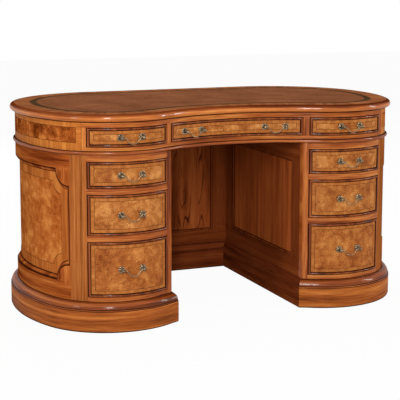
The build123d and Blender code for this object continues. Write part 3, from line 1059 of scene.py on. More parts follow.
@dataclass(frozen=True)
class Ring:
    """Closed rings about a rectangle in (u, z), all with the same number of spots."""

    low_u: float
    high_u: float
    low_z: float
    high_z: float
    corner: float
    across: int = 30
    up: int = 12
    arc: int = 12

    def spots(self, *insets: float, shape: Corner = Corner.SQUARE,
              corner: Optional[float] = None) -> list[Spot]:
        """Spots of the ring, moved inwards.

        Args:
            insets: how far the left, right, lower and upper side move in, or one for all four.
            shape: what the corners look like.
            corner: how far along each side a corner reaches. Without it, an indented corner
                runs parallel to the ring's own.

        Returns:
            The spots, anticlockwise from the lower left.
        """
        insets = insets or (0.0,)
        left, right, below, above = insets if len(insets) == 4 else insets * 4
        parallel = shape is Corner.INDENTED and corner is None
        size = self.corner if corner is None else corner
        radius, moved = (size + left, left) if parallel else (size, 0.0)
        size = sqrt(radius * radius - moved * moved) - moved
        first = asin(moved / radius) if parallel else 0.0
        low_u, high_u = self.low_u + left, self.high_u - right
        low_z, high_z = self.low_z + below, self.high_z - above
        corners = [(high_u, low_z), (high_u, high_z), (low_u, high_z), (low_u, low_z)]
        ways = [(1, 0), (0, 1), (-1, 0), (0, -1)]
        spots: list[Spot] = []
        for index, (u, z) in enumerate(corners):
            before, way = corners[index - 1], ways[index]
            start = (before[0] + size * way[0], before[1] + size * way[1])
            end = (u - size * way[0], z - size * way[1])
            count = self.across if index % 2 == 0 else self.up
            spots += [between(start, end, i / count) for i in range(count)]
            turn = ways[(index + 1) % 4]
            for i in range(self.arc):
                share = i / self.arc
                if shape is Corner.INDENTED:
                    angle = first + share * (pi / 2 - 2 * first)
                    back, ahead = radius * cos(angle) - moved, radius * sin(angle) - moved
                else:
                    back, ahead = size * max(0.0, 1 - 2 * share), size * max(0.0, 2 * share - 1)
                spots.append(
                    (u - back * way[0] + ahead * turn[0], z - back * way[1] + ahead * turn[1])
                )
        return spots

    def moulding(
        self, profile: Sequence[tuple[float, float, Dress]], shape: Corner = Corner.SQUARE
    ) -> list[Hoop]:
        """Hoops of a moulding that runs round the ring.

        Args:
            profile: how far in, how far out and the finish, for each of its sides.
            shape: what its corners look like.

        Returns:
            The hoops.
        """
        return [Hoop(self.spots(inset, shape=shape), out, dress) for inset, out, dress in profile]

    def indented(self, inset: float = 0.0, corner: Optional[float] = None) -> list[Spot]:
        """Spots of the ring with indented corners, moved inwards."""
        return self.spots(inset, shape=Corner.INDENTED, corner=corner)

    def middle(self) -> list[Spot]:
        """The ring shrunk to its middle."""
        spot = ((self.low_u + self.high_u) / 2, (self.low_z + self.high_z) / 2)
        return [spot] * (2 * (self.across + self.up) + 4 * self.arc)


def bend(start: Spot, end: Spot, radius: float, steps: int) -> list[Spot]:
    """Arc of a profile, after its start. The centre is to its right if the radius is above 0.

    Args:
        start: where the arc starts.
        end: where it ends.
        radius: its radius, negative for a centre to the left.
        steps: how many points it gets.

    Returns:
        The points, the end included.
    """
    middle = ((start[0] + end[0]) / 2, (start[1] + end[1]) / 2)
    chord = (end[0] - start[0], end[1] - start[1])
    length = hypot(*chord)
    rise = sqrt(max(0.0, radius * radius - length * length / 4)) / length
    side = 1 if radius > 0 else -1
    centre = (middle[0] + side * chord[1] * rise, middle[1] - side * chord[0] * rise)
    first = atan2(start[1] - centre[1], start[0] - centre[0])
    last = atan2(end[1] - centre[1], end[0] - centre[0])
    sweep = (last - first + pi) % tau - pi
    return [
        (
            centre[0] + abs(radius) * cos(first + sweep * i / steps),
            centre[1] + abs(radius) * sin(first + sweep * i / steps),
        )
        for i in range(1, steps + 1)
    ]


class Skin:
    """Faces of one piece, each with its finish and its place on the grain."""

    sharp_angle: float = radians(32)
    solid_shift: float = 0.613
    shift_slant: float = 1.7
    points_per_metre: float = 2e5
    point_offset: float = 0.137
    tube_sides: int = 14

    def __init__(self, name: str, shift: float = 0.0) -> None:
        """Start a piece.

        Args:
            name: its name.
            shift: moves its grain, so that two pieces differ.
        """
        self.name = name
        self.shift = shift
        self.points: list[Point] = []
        self.faces: list[list[int]] = []
        self.places: list[Spot] = []
        self.dresses: list[Dress] = []
        self.known: dict[tuple[int, int, int], int] = {}

    def solid(self) -> None:
        """Start a new closed solid, which shares no point with those before."""
        self.known = {}
        self.shift += self.solid_shift

    def index(self, point: Point) -> int:
        """Number of a point.

        Args:
            point: the point.

        Returns:
            Its number, the same for two that coincide.
        """
        key = tuple(round(value * self.points_per_metre + self.point_offset) for value in point)
        if key not in self.known:
            self.known[key] = len(self.points)
            self.points.append(point)
        return self.known[key]

    def face(self, points: Sequence[Point], places: Sequence[Spot], dress: Dress) -> None:
        """Add a face, unless it has shrunk to a line.

        Args:
            points: its corners.
            places: their places on the grain.
            dress: its finish.
        """
        corners: list[int] = []
        kept: list[Spot] = []
        for point, place in zip(points, places):
            number = self.index(point)
            if number not in corners:
                corners.append(number)
                kept.append((place[0] + self.shift, place[1] + self.shift_slant * self.shift))
        if len(corners) > 2:
            self.faces.append(corners)
            self.places.extend(kept)
            self.dresses.append(dress)

    def bridge(self, rows: Rows, places: Places, dresses: Sequence[Dress]) -> None:
        """Join neighbouring rows of points with strips of faces.

        Args:
            rows: the rows. A row that closes ends with its first point.
            places: the grain places of their points.
            dresses: the finish of each strip.
        """
        for i, dress in enumerate(dresses):
            for j in range(len(rows[i]) - 1):
                corners = ((i, j), (i, j + 1), (i + 1, j + 1), (i + 1, j))
                self.face(
                    [rows[a][b] for a, b in corners], [places[a][b] for a, b in corners], dress
                )

    def close(self, rows: Rows, places: Places, dress: Dress) -> None:
        """Join rows of points into a closed solid.

        Args:
            rows: the rows. Each closes on its first point.
            places: the grain places of their points.
            dress: its finish.
        """
        self.bridge(rows, places, [dress] * (len(rows) - 1))
        for end in (0, -1):
            self.face(rows[end][:-1], places[end][:-1], dress)

    def cap(self, row: Sequence[Point], dress: Dress) -> None:
        """Close a level row of points with one flat face."""
        self.face(row[:-1], [(y, x) for x, y, z in row[:-1]], dress)

    def plate(
        self, surface: Surface, hoops: Sequence[Hoop], rails: Optional[Spot] = None
    ) -> None:
        """Closed plate on a surface, from rings that run over it.

        Args:
            surface: gives the point at (u, z, out).
            hoops: the rings in order.
            rails: heights between which a framed strip has upright fibres.
        """
        for first, last in zip(hoops, hoops[1:]):
            self.strip(surface, first, last, rails)

    def strip(self, surface: Surface, first: Hoop, last: Hoop, rails: Optional[Spot]) -> None:
        """One strip of a plate, in as many steps as its last ring says.

        Args:
            surface: gives the point at (u, z, out).
            first: the ring where it starts.
            last: the ring where it ends, which gives its finish.
            rails: heights between which a framed strip has upright fibres.
        """
        count = len(first.spots)
        starts, ends = ([(*spot, hoop.out) for spot in hoop.spots] for hoop in (first, last))
        rows = [
            [between(a, b, step / last.steps) for a, b in zip(starts, ends)]
            for step in range(last.steps + 1)
        ]
        solid = [[surface(*spot) for spot in row] for row in rows]
        depth = 0.0 if first.out == last.out else 1.0
        for low, high, low_points, high_points in zip(rows, rows[1:], solid, solid[1:]):
            for j in range(count):
                k = (j + 1) % count
                corners = (low[j], low[k], high[k], high[j])
                flat = self.lies_level(last.grain, corners, rails)
                places = [
                    (z + depth * out, u) if flat else (u + depth * out, z) for u, z, out in corners
                ]
                self.face(
                    (low_points[j], low_points[k], high_points[k], high_points[j]),
                    places,
                    last.dress,
                )

    @staticmethod
    def lies_level(
        grain: Grain, corners: Sequence[tuple[float, float, float]], rails: Optional[Spot]
    ) -> bool:
        """Whether the fibres of a face run level.

        Args:
            grain: how the strip is laid.
            corners: the face's corners as (u, z, out).
            rails: heights between which a framed strip has upright fibres.

        Returns:
            True for level fibres.
        """
        if grain is Grain.CROSSBAND:
            a, b, c, d = corners
            along_u, along_z = (abs(b[i] - a[i]) + abs(c[i] - d[i]) for i in (0, 1))
            return along_z > along_u
        if grain is Grain.FRAMED and rails:
            height = sum(corner[1] for corner in corners) / 4
            return not rails[0] < height < rails[1]
        return grain is Grain.LEVEL

    def board(self, surface: Surface, span: Spot, heights: Spot, offsets: Spot, dress: Dress,
              level: bool = True, ease: float = EASE) -> None:
        """Closed board on a surface, with its front edges eased.

        Args:
            surface: gives the point at (u, z, out).
            span: low and high u.
            heights: low and high z.
            offsets: back and front offset.
            dress: its finish.
            level: whether its fibres run along u.
            ease: size of the eased edge.
        """
        self.solid()
        back, face = offsets
        low, high = heights
        stations = [span[0], *OUTLINE.stations(span[0] + ease, span[1] - ease), span[1]]
        rows, places = [], []
        for i, u in enumerate(stations):
            front = face - ease if i in (0, len(stations) - 1) else face
            profile = [
                (back, low), (front - ease, low), (front, low + ease), (front, high - ease),
                (front - ease, high), (back, high), (back, low),
            ]
            rows.append([surface(u, z, out) for out, z in profile])
            across = [z + (out - face) / (2 if z == low else -2) for out, z in profile]
            places.append([(z, u) if level else (u, z) for z in across])
        self.close(rows, places, dress)

    def tube(
        self, route: Sequence[Point], radii: Sequence[float], side: Vector, dress: Dress
    ) -> None:
        """Closed round rod along a route.

        Args:
            route: points along its middle, all in one plane.
            radii: its radius at each.
            side: direction square to that plane.
            dress: its finish.
        """
        self.solid()
        turns = [tau * k / self.tube_sides for k in range(self.tube_sides)]
        rows, places, length = [], [], 0.0
        for i, point in enumerate(route):
            here = Vector(point)
            ahead = Vector(route[min(i + 1, len(route) - 1)]) - Vector(route[max(i - 1, 0)])
            upward = ahead.normalized().cross(side).normalized()
            if i:
                length += (here - Vector(route[i - 1])).length
            row = [tuple(here + radii[i] * (cos(t) * side + sin(t) * upward)) for t in turns]
            rows.append([*row, row[0]])
            places.append([(radii[i] * turn, length) for turn in (*turns, tau)])
        self.close(rows, places, dress)

    def build(self, body: str, slot: str, nodes: Sequence[str] = ()) -> bpy.types.Object:
        """Make the object, dress it and hang it on its body.

        Args:
            body: the CAD body that it rides on.
            slot: not used.
            nodes: the CAD nodes that it stands for.

        Returns:
            The object.
        """
        used = list(dict.fromkeys(self.dresses))
        mesh = bpy.data.meshes.new(self.name)
        mesh.from_pydata(self.points, [], self.faces)
        layer = mesh.uv_layers.new(name=UV_LAYER)
        layer.data.foreach_set("uv", [value for place in self.places for value in place])
        for dress in used:
            mesh.materials.append(material_of(dress))
        mesh.polygons.foreach_set("material_index", [used.index(dress) for dress in self.dresses])
        work = bmesh.new()
        work.from_mesh(mesh)
        bmesh.ops.recalc_face_normals(work, faces=work.faces)
        work.to_mesh(mesh)
        work.free()
        mesh.polygons.foreach_set("use_smooth", [True] * len(mesh.polygons))
        mesh.set_sharp_from_angle(angle=self.sharp_angle)
        piece = linked(self.name, mesh)
        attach(piece, body)
        if nodes:
            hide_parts(*nodes)
        log.info("%s: %d faces, rides on %s", self.name, len(self.faces), body)
        return piece


def linked(name: str, data: bpy.types.ID) -> bpy.types.Object:
    """Make an object and link it to the scene.

    Args:
        name: its name.
        data: its mesh, lamp or camera.

    Returns:
        The object.
    """
    thing = bpy.data.objects.new(name, data)
    bpy.context.scene.collection.objects.link(thing)
    return thing


# The desk's sub-assemblies


@dataclass
class Top:
    """Top board with its moulded edge, and the leather let into it."""

    nose: float = 0.019
    arris: float = 0.003
    nose_height: float = 0.016
    under: Spot = (0.0070, 0.0034)
    under_radius: float = 0.0125
    bead: float = 0.0030
    foot: float = 0.005
    rim: float = 0.0008
    leather_edge: float = -0.058
    leather_depth: float = 0.002
    leather_drop: float = 0.0003
    leather_gap: float = 0.0004
    leather_round: float = 0.0007
    band_start: float = -0.0600
    band_end: float = -0.0830
    string_place: float = -0.0565
    string_width: float = 0.0010
    # The first flat side, the wall round the leather, is painted shade.
    flat_sides: tuple[tuple[Dress, bool], ...] = (
        (Dress.PAINTED_SHADE, False), (Dress.TOP, True), (Dress.TOP, True), (Dress.STRINGING, False),
        (Dress.TOP, True),
    )
    # Down the edge: painted half shade on the upper round, moulding wood, the nose's front in
    # painted light, bead wood, and painted shade at the cove's foot.
    edge_sides: tuple[tuple[Dress, int], ...] = (
        (Dress.PAINTED_HALF_SHADE, 6), (Dress.MOULDING, 2), (Dress.NOSE, 8), (Dress.BEAD, 1), (Dress.PAINTED_SHADE, 2),
    )

    def build(self) -> None:
        """Build the board and the leather."""
        self.build_board()
        self.build_leather()

    def build_board(self) -> None:
        """The board, from the ground under the leather round to its underside."""
        skin = Skin("moulded_top_board")
        top, base = LEVELS.desk, LEVELS.frieze_top
        brow, lip = (self.arris, top), (self.nose, top - self.nose_height)
        under = (self.nose - self.under[0], base + self.under[1])
        profile = [
            (self.leather_edge, top - self.leather_depth), (self.leather_edge, top - self.rim),
            (self.leather_edge + self.rim, top), (self.string_place, top),
            (self.string_place + self.string_width, top), brow,
            *bend(brow, lip, self.nose_height, steps=10),
            *bend(lip, under, self.under_radius, steps=7),
            (under[0] - self.bead, base + self.bead), (self.foot, base),
        ]
        sides = list(self.flat_sides)
        for dress, count in self.edge_sides:
            sides += [(dress, False)] * count
        distances = OUTLINE.all_round()
        rows = OUTLINE.carried(profile)
        length = 0.0
        for i, (dress, crossed) in enumerate(sides):
            reach = dist(profile[i], profile[i + 1])
            places = [
                [(s, gone) if crossed else (gone, s) for s in distances]
                for gone in (length, length + reach)
            ]
            skin.bridge(rows[i : i + 2], places, [dress])
            length += reach
        for row in (rows[0], rows[-1]):
            skin.cap(row, Dress.CARCASS)
        skin.build("root", "moulding_wood", ["top_board"])

    def build_leather(self) -> None:
        """The leather, with its tooled band."""
        skin = Skin("leather_top")
        top = LEVELS.desk - self.leather_drop
        edge, ease = self.leather_edge - self.leather_gap, self.leather_round
        profile = [
            (edge, LEVELS.desk - self.leather_depth), (edge, top - ease), (edge - ease, top),
            (self.band_start, top), (self.band_end, top),
        ]
        rows = OUTLINE.carried(profile)
        places = [[(out, s) for s in OUTLINE.all_round()] for out, z in profile]
        skin.bridge(rows, places, [Dress.LEATHER, Dress.LEATHER, Dress.TOOLING, Dress.TOOLING])
        for row in (rows[-1], rows[0]):
            skin.cap(row, Dress.LEATHER)
        skin.build("root", "leather", ["leather_inset"])


@dataclass
class Frieze:
    """Curved box under the top: front frame, crossbanded ends and back."""

    thickness: float = 0.022
    stile: float = 0.020
    lower_band: float = 0.027
    upper_band: float = 0.018
    side_band: float = 0.020
    string_width: float = 0.0016
    panel_step: float = 0.040

    def build(self) -> None:
        """Build every piece of the frieze."""
        self.build_front()
        half = OUTLINE.back_half_length
        for name, side, low, high, shift in (
            ("end_right", 1, half, OUTLINE.shell_front, 0.31),
            ("end_left", -1, half, OUTLINE.shell_front, -0.31),
            ("back", 1, -half, half, 0.9),
        ):
            skin = Skin(f"frieze_{name}_veneered", shift=shift)
            self.panel(skin, OUTLINE.on_body(side), low, high)
            skin.build("root", "crossband", [f"frieze_{name}"])

    def panel(self, skin: Skin, surface: Surface, low: float, high: float) -> None:
        """A crossbanded stretch of the frieze.

        Args:
            skin: the piece being made.
            surface: the body face.
            low: the distance where it starts.
            high: the distance where it ends.
        """
        skin.solid()
        ring = Ring(
            low + JOINT, high - JOINT, LEVELS.frieze, LEVELS.frieze_top, 0.0,
            across=ceil((high - low) / STATION), up=8, arc=0,
        )
        band = (self.side_band, self.side_band, self.lower_band, self.upper_band)
        lined = tuple(side + self.string_width for side in band)
        steps = ceil((high - low) / self.panel_step)
        hoops = [
            Hoop(ring.middle(), -self.thickness, Dress.CARCASS),
            Hoop(ring.spots(), -self.thickness, Dress.CARCASS, steps=steps),
            Hoop(ring.spots(), 0.0, Dress.FRAME),
            Hoop(ring.spots(*band), 0.0, Dress.CROSSBAND, Grain.CROSSBAND, 2),
            Hoop(ring.spots(*lined), 0.0, Dress.STRINGING),
            Hoop(ring.middle(), 0.0, Dress.FRIEZE_BURR, steps=steps),
        ]
        skin.plate(surface, hoops)

    def build_front(self) -> None:
        """Rails, dividing stiles and corner strips between the drawers."""
        skin = Skin("frieze_front_framed", shift=0.2)
        depth = (-self.thickness, 0.0)
        start, inner = OUTLINE.shell_front + JOINT, OUTLINE.drawer_inner_x
        lower, upper = LEVELS.frieze_drawer, LEVELS.frieze_drawer_top
        for heights in ((LEVELS.frieze, lower), (upper, LEVELS.frieze_top)):
            skin.board(
                OUTLINE.on_body(), (start, OUTLINE.perimeter - start), heights, depth, Dress.APRON
            )
        front = OUTLINE.on_front()
        for side in (1, -1):
            strip, stile = (start, OUTLINE.drawer_edge), in_order(side, inner - self.stile, inner)
            for surface, span in ((OUTLINE.on_corner_strip(side), strip), (front, stile)):
                skin.board(surface, span, (lower, upper), depth, Dress.APRON, False)
        skin.build("root", "frame_wood", ["frieze_front_frame"])


@dataclass
class Waist:
    """Board between frieze and pedestals with a half-round edge."""

    projection: float = 0.009
    back: float = -0.030
    # Steps of painted shade at each edge of the round.
    painted_shade_steps: int = 3
    steps: int = 16
    drape: Spot = (0.9, 0.4)

    def build(self) -> None:
        """Build the board."""
        skin = Skin("waist_moulded")
        high, low = LEVELS.frieze, LEVELS.pedestal_top
        radius = (high - low) / 2
        flat = self.projection - radius
        middle = (self.projection, (high + low) / 2)
        profile = [
            (self.back, high), (flat, high), *bend((flat, high), middle, radius, self.steps // 2),
            *bend(middle, (flat, low), radius, self.steps // 2), (self.back, low),
        ]
        # Painted shade on the outer steps, darker bead wood next to them and lighter moulding wood
        # in the middle: painted light and shade on the round.
        half = [Dress.PAINTED_SHADE] * (1 + self.painted_shade_steps) + [Dress.BEAD] * 2
        lit = [Dress.MOULDING] * (self.steps + 2 - 2 * len(half))
        down, aside = self.drape
        rows = OUTLINE.carried(profile)
        places = [[(down * z - aside * out, s) for s in OUTLINE.all_round()] for out, z in profile]
        skin.bridge(rows, places, half + lit + half[::-1])
        skin.cap(rows[0], Dress.CARCASS)
        skin.cap(rows[-1], Dress.KNEEHOLE)
        skin.build("root", "moulding_wood", ["waist_board"])


@dataclass
class Pedestal:
    """One pedestal: bow front frame, and curved shell with its two panels."""

    side: int
    name: str
    thickness: float = 0.022
    stile: float = 0.020
    strip: float = 0.048
    shell_back: float = 0.267
    back_panel: Spot = (0.333, 0.599946)
    cell_joint: float = 0.649946
    end_panel: Spot = (0.699946, 1.332946)
    heights: Spot = (LEVELS.body, LEVELS.pedestal_top)
    panel_heights: Spot = (0.175, 0.578)
    indent: float = 0.060
    panel_recess: float = 0.015
    panel_thickness: float = 0.006
    panel_gap: float = 0.0004
    rim: Spot = (0.0034, 0.0006)
    moulding: float = 0.0145
    quirk: float = 0.0030
    quirk_start: float = 0.0010
    round_radius: float = 0.0130
    round_end: Spot = (0.0020, 0.0022)
    round_drop: float = 0.0002
    # Painted shade in the quirks, painted half shade on the flanks, frame wood on the round
    # between.
    moulding_dresses: tuple[Dress, ...] = (
        *[Dress.PAINTED_SHADE] * 3, Dress.PAINTED_HALF_SHADE, *[Dress.FRAME] * 3, Dress.PAINTED_HALF_SHADE, *[Dress.PAINTED_SHADE] * 2,
    )
    border: float = 0.047
    border_indent: float = 0.044
    string_width: float = 0.0016
    bead: Spot = (0.0058, 0.0010)
    bead_back: float = -0.0022
    bead_ease: float = 0.0014
    groove: float = -0.0020

    def build(self) -> None:
        """Build every piece of the pedestal."""
        self.build_front()
        self.build_shell()
        self.build_panels()

    def build_front(self) -> None:
        """Rails and stiles of the bow front."""
        skin = Skin(f"pedestal_{self.name}_front_framed", shift=0.4 * self.side)
        depth = (-self.thickness, 0.0)
        strip = (OUTLINE.shell_front + JOINT, OUTLINE.drawer_edge)
        on_strip, front = OUTLINE.on_corner_strip(self.side), OUTLINE.on_front()
        skin.board(on_strip, strip, self.heights, depth, Dress.STRIP, False)
        inner, outer = OUTLINE.drawer_inner_x, OUTLINE.drawer_outer_x
        stile = in_order(self.side, inner - self.stile, inner)
        skin.board(front, stile, self.heights, depth, Dress.RAIL, False)
        edges = sorted(sum(DRAWER_ROWS.values(), self.heights))
        for heights in zip(edges[::2], edges[1::2]):
            skin.board(front, in_order(self.side, inner, outer), heights, depth, Dress.RAIL)
        skin.build("root", "frame_wood", [f"pedestal_{self.name}_front_frame"])

    def panel_ring(self, span: Spot) -> Ring:
        """Rings about one of the panels."""
        across = ceil((span[1] - span[0]) / STATION)
        return Ring(*span, *self.panel_heights, self.indent, across, up=24)

    def build_shell(self) -> None:
        """The framing of the curved end and back, with an opening for each panel."""
        skin = Skin(f"pedestal_{self.name}_shell_framed", shift=0.7 * self.side)
        surface, back = OUTLINE.on_body(self.side), -self.thickness
        strip_start, end = OUTLINE.shell_front - self.strip, OUTLINE.shell_front
        far, near = self.bead
        groove = end - far - near
        # The groove board beside the corner bead is painted shade.
        for span, offsets, dress, ease in (
            ((strip_start + JOINT, groove), (back, 0.0), Dress.STRIP, EASE),
            ((groove, end - JOINT), (back, self.groove), Dress.PAINTED_SHADE, EASE),
            ((end - far, end - near), (self.bead_back, 0.0), Dress.STRIP, self.bead_ease),
        ):
            skin.board(surface, span, self.heights, offsets, dress, False, ease)
        self.cell(skin, surface, (self.shell_back, self.cell_joint - JOINT), self.back_panel)
        self.cell(skin, surface, (self.cell_joint + JOINT, strip_start - JOINT), self.end_panel)
        skin.build("root", "frame_wood", [f"pedestal_{self.name}_shell"])

    def cell(self, skin: Skin, surface: Surface, span: Spot, panel: Spot) -> None:
        """Frame round the opening of one panel, with the moulding inside it.

        Args:
            skin: the piece being made.
            surface: the body face.
            span: the distances between which the frame runs.
            panel: the distances between which the panel shows.
        """
        skin.solid()
        hole = self.panel_ring(panel)
        around = Ring(*span, *self.heights, self.indent, hole.across, hole.up)
        edge, back = around.spots(), -self.thickness
        opening, floor = hole.indented(), self.panel_gap - self.panel_recess
        outer, inner = (hole.indented(-inset) for inset in self.rim)
        hoops = [
            Hoop(edge, back, Dress.FRAME),
            Hoop(edge, -EASE, Dress.FRAME),
            Hoop(around.spots(EASE), 0.0, Dress.FRAME),
            Hoop(outer, 0.0, Dress.FRAME, Grain.FRAMED, 4),
            # A painted shade line on the frame round the opening, and painted shade on the step
            # down to the panel.
            Hoop(inner, 0.0, Dress.PAINTED_SHADE),
            *hole.moulding(self.panel_moulding(floor), Corner.INDENTED),
            Hoop(opening, floor, Dress.PAINTED_SHADE),
            Hoop(opening, back, Dress.CARCASS),
            Hoop(edge, back, Dress.CARCASS, steps=4),
        ]
        skin.plate(surface, hoops, self.panel_heights)

    def panel_moulding(self, floor: float) -> list[tuple[float, float, Dress]]:
        """Round moulding between two dark quirks, from the frame's face down to the panel.

        Args:
            floor: the offset where it ends.

        Returns:
            How far in, how far out and the finish, for each of its sides.
        """
        start = (self.quirk / 2, -self.quirk)
        end = (self.moulding - self.round_end[0], floor + self.round_end[1])
        profile = [(0.0, -self.quirk_start), (0.0, -self.quirk), start]
        profile += bend(start, end, self.round_radius, steps=5)
        profile += [(self.moulding, end[1] - self.round_drop), (self.moulding, floor)]
        return [(*spot, dress) for spot, dress in zip(profile, self.moulding_dresses)]

    def build_panels(self) -> None:
        """The two burr panels with their borders and stringing."""
        skin = Skin(f"pedestal_{self.name}_burr_veneered", shift=1.1 * self.side)
        face = -self.panel_recess
        back = face - self.panel_thickness
        for span in (self.back_panel, self.end_panel):
            skin.solid()
            ring = self.panel_ring(span)
            edge, border = ring.indented(), self.border
            line = ring.indented(border, self.border_indent)
            field = ring.indented(border + self.string_width, self.border_indent)
            hoops = [
                Hoop(ring.middle(), back, Dress.CARCASS),
                Hoop(edge, back, Dress.CARCASS, steps=12),
                Hoop(edge, face, Dress.BORDER),
                Hoop(line, face, Dress.BORDER, steps=5),
                Hoop(field, face, Dress.STRINGING),
                Hoop(ring.middle(), face, Dress.PANEL_BURR, steps=12),
            ]
            skin.plate(OUTLINE.on_body(self.side), hoops)
        skin.build("root", "burr_veneer", [f"pedestal_{self.name}_burr_panels"])


@dataclass
class Plinth:
    """Moulded plinth round one pedestal."""

    side: int
    name: str
    projection: float = 0.02697
    kneehole_projection: float = 0.020
    kneehole_x: float = 0.267
    thickness: float = 0.020
    ledge: float = 0.040
    lap: float = -0.0003
    crown: float = 0.008
    crown_start: Spot = (0.0026, -0.0016)
    crown_end: Spot = (-0.0030, 0.0056)
    crown_radius: float = 0.0215
    rounds: int = 9
    stations: int = 170
    straight: int = 40
    fillet: tuple[Spot, ...] = (
        (-0.0052, 0.0048), (-0.0052, 0.0040), (-0.0014, 0.0034), (0.0, 0.0018),
        (-0.0004, 0.0004), (-0.0026, 0.0), (-0.0026, -0.0010), (0.0, -0.0018),
    )
    toe: tuple[Spot, ...] = ((0.0, 0.0042), (-0.0012, 0.0016), (-0.0022, 0.0))

    def section(self) -> tuple[list[Spot], list[Dress]]:
        """The outer face in section, from the floor to the body.

        Returns:
            Its (out, z) points and the finishes between them.
        """
        high, low, reach = LEVELS.body, LEVELS.plinth_board, self.projection
        start = (self.crown_start[0], high + self.crown + self.crown_start[1])
        end = (reach + self.crown_end[0], low + self.crown_end[1])
        down = [(self.lap, high), (self.lap, high + self.crown), start]
        down += bend(start, end, self.crown_radius, self.rounds)
        down += [(reach + out, low + z) for out, z in self.fillet]
        down += [(reach + out, z) for out, z in self.toe]
        third = self.rounds // 3
        # From the body down: painted shade in the quirk; darker bead wood, lighter moulding wood
        # in the middle and bead wood again on the torus, as painted light and shade; painted shade
        # in the groove; moulding wood on the fillet as a painted highlight; painted shade; plinth
        # wood; painted shade at the toe.
        dresses = [Dress.PAINTED_SHADE] * 2
        for dress, count in (
            (Dress.BEAD, third), (Dress.MOULDING, third), (Dress.BEAD, third), (Dress.PAINTED_SHADE, 3),
            (Dress.MOULDING, 2), (Dress.PAINTED_SHADE, 3), (Dress.PLINTH, 1), (Dress.PAINTED_SHADE, 2),
        ):
            dresses += [dress] * count
        return down[::-1], dresses[::-1]

    def build(self) -> None:
        """Build the plinth from closed rounds, one for each point of its section."""
        skin = Skin(f"plinth_{self.name}_moulded", shift=0.5 * self.side)
        section, dresses = self.section()
        share = self.kneehole_projection / self.projection
        rounds = [(out, self.kneehole_x - out * share, z) for out, z in section]
        board_inner = self.projection - self.thickness
        inner_x = self.kneehole_x - self.kneehole_projection + self.thickness
        ledge_x, board = self.kneehole_x + self.ledge, LEVELS.plinth_board
        rounds += [
            (-self.ledge, ledge_x, LEVELS.body), (-self.ledge, ledge_x, board),
            (board_inner, inner_x, board), (board_inner, inner_x, 0.0), rounds[0],
        ]
        dresses += [Dress.CARCASS] * 5
        rows, places, height = [], [], 0.0
        for before, (out, edge, z) in zip([rounds[0], *rounds], rounds):
            height += hypot(out - before[0], z - before[2])
            row, place = self.round(out, edge, z)
            rows.append(row)
            places.append([(height, s) for s in place])
        # Inside the kneehole the plinth takes its darker copy: painted shade.
        shaded = [dress if dress is Dress.CARCASS else Dress.SHADED_KNEEHOLE_PLINTH for dress in dresses]
        last = self.stations
        for part, finishes in ((slice(last + 1), dresses), (slice(last, None), shaded)):
            skin.bridge([row[part] for row in rows], [place[part] for place in places], finishes)
        skin.build("root", "moulding_wood", [f"plinth_{self.name}"])

    def round(self, out: float, edge: float, z: float) -> tuple[list[Point], list[float]]:
        """One closed round of the plinth at a level.

        Args:
            out: how far outside the body face its curved side lies.
            edge: x of its straight side along the kneehole.
            z: its level.

        Returns:
            Its points, closed, and the distance gone at each.
        """
        end = OUTLINE.distance_at(edge, out)
        gone = [edge + (end - edge) * i / self.stations for i in range(self.stations + 1)]
        points = [(*OUTLINE.place(s, out), z) for s in gone]
        front_y, back_y = points[-1][1], points[0][1]
        for i in range(1, self.straight + 1):
            way = (back_y - front_y) * i / self.straight
            points.append((edge, front_y + way, z))
            gone.append(end + way)
        points[-1] = points[0]
        return [(self.side * x, y, level) for x, y, level in points], gone


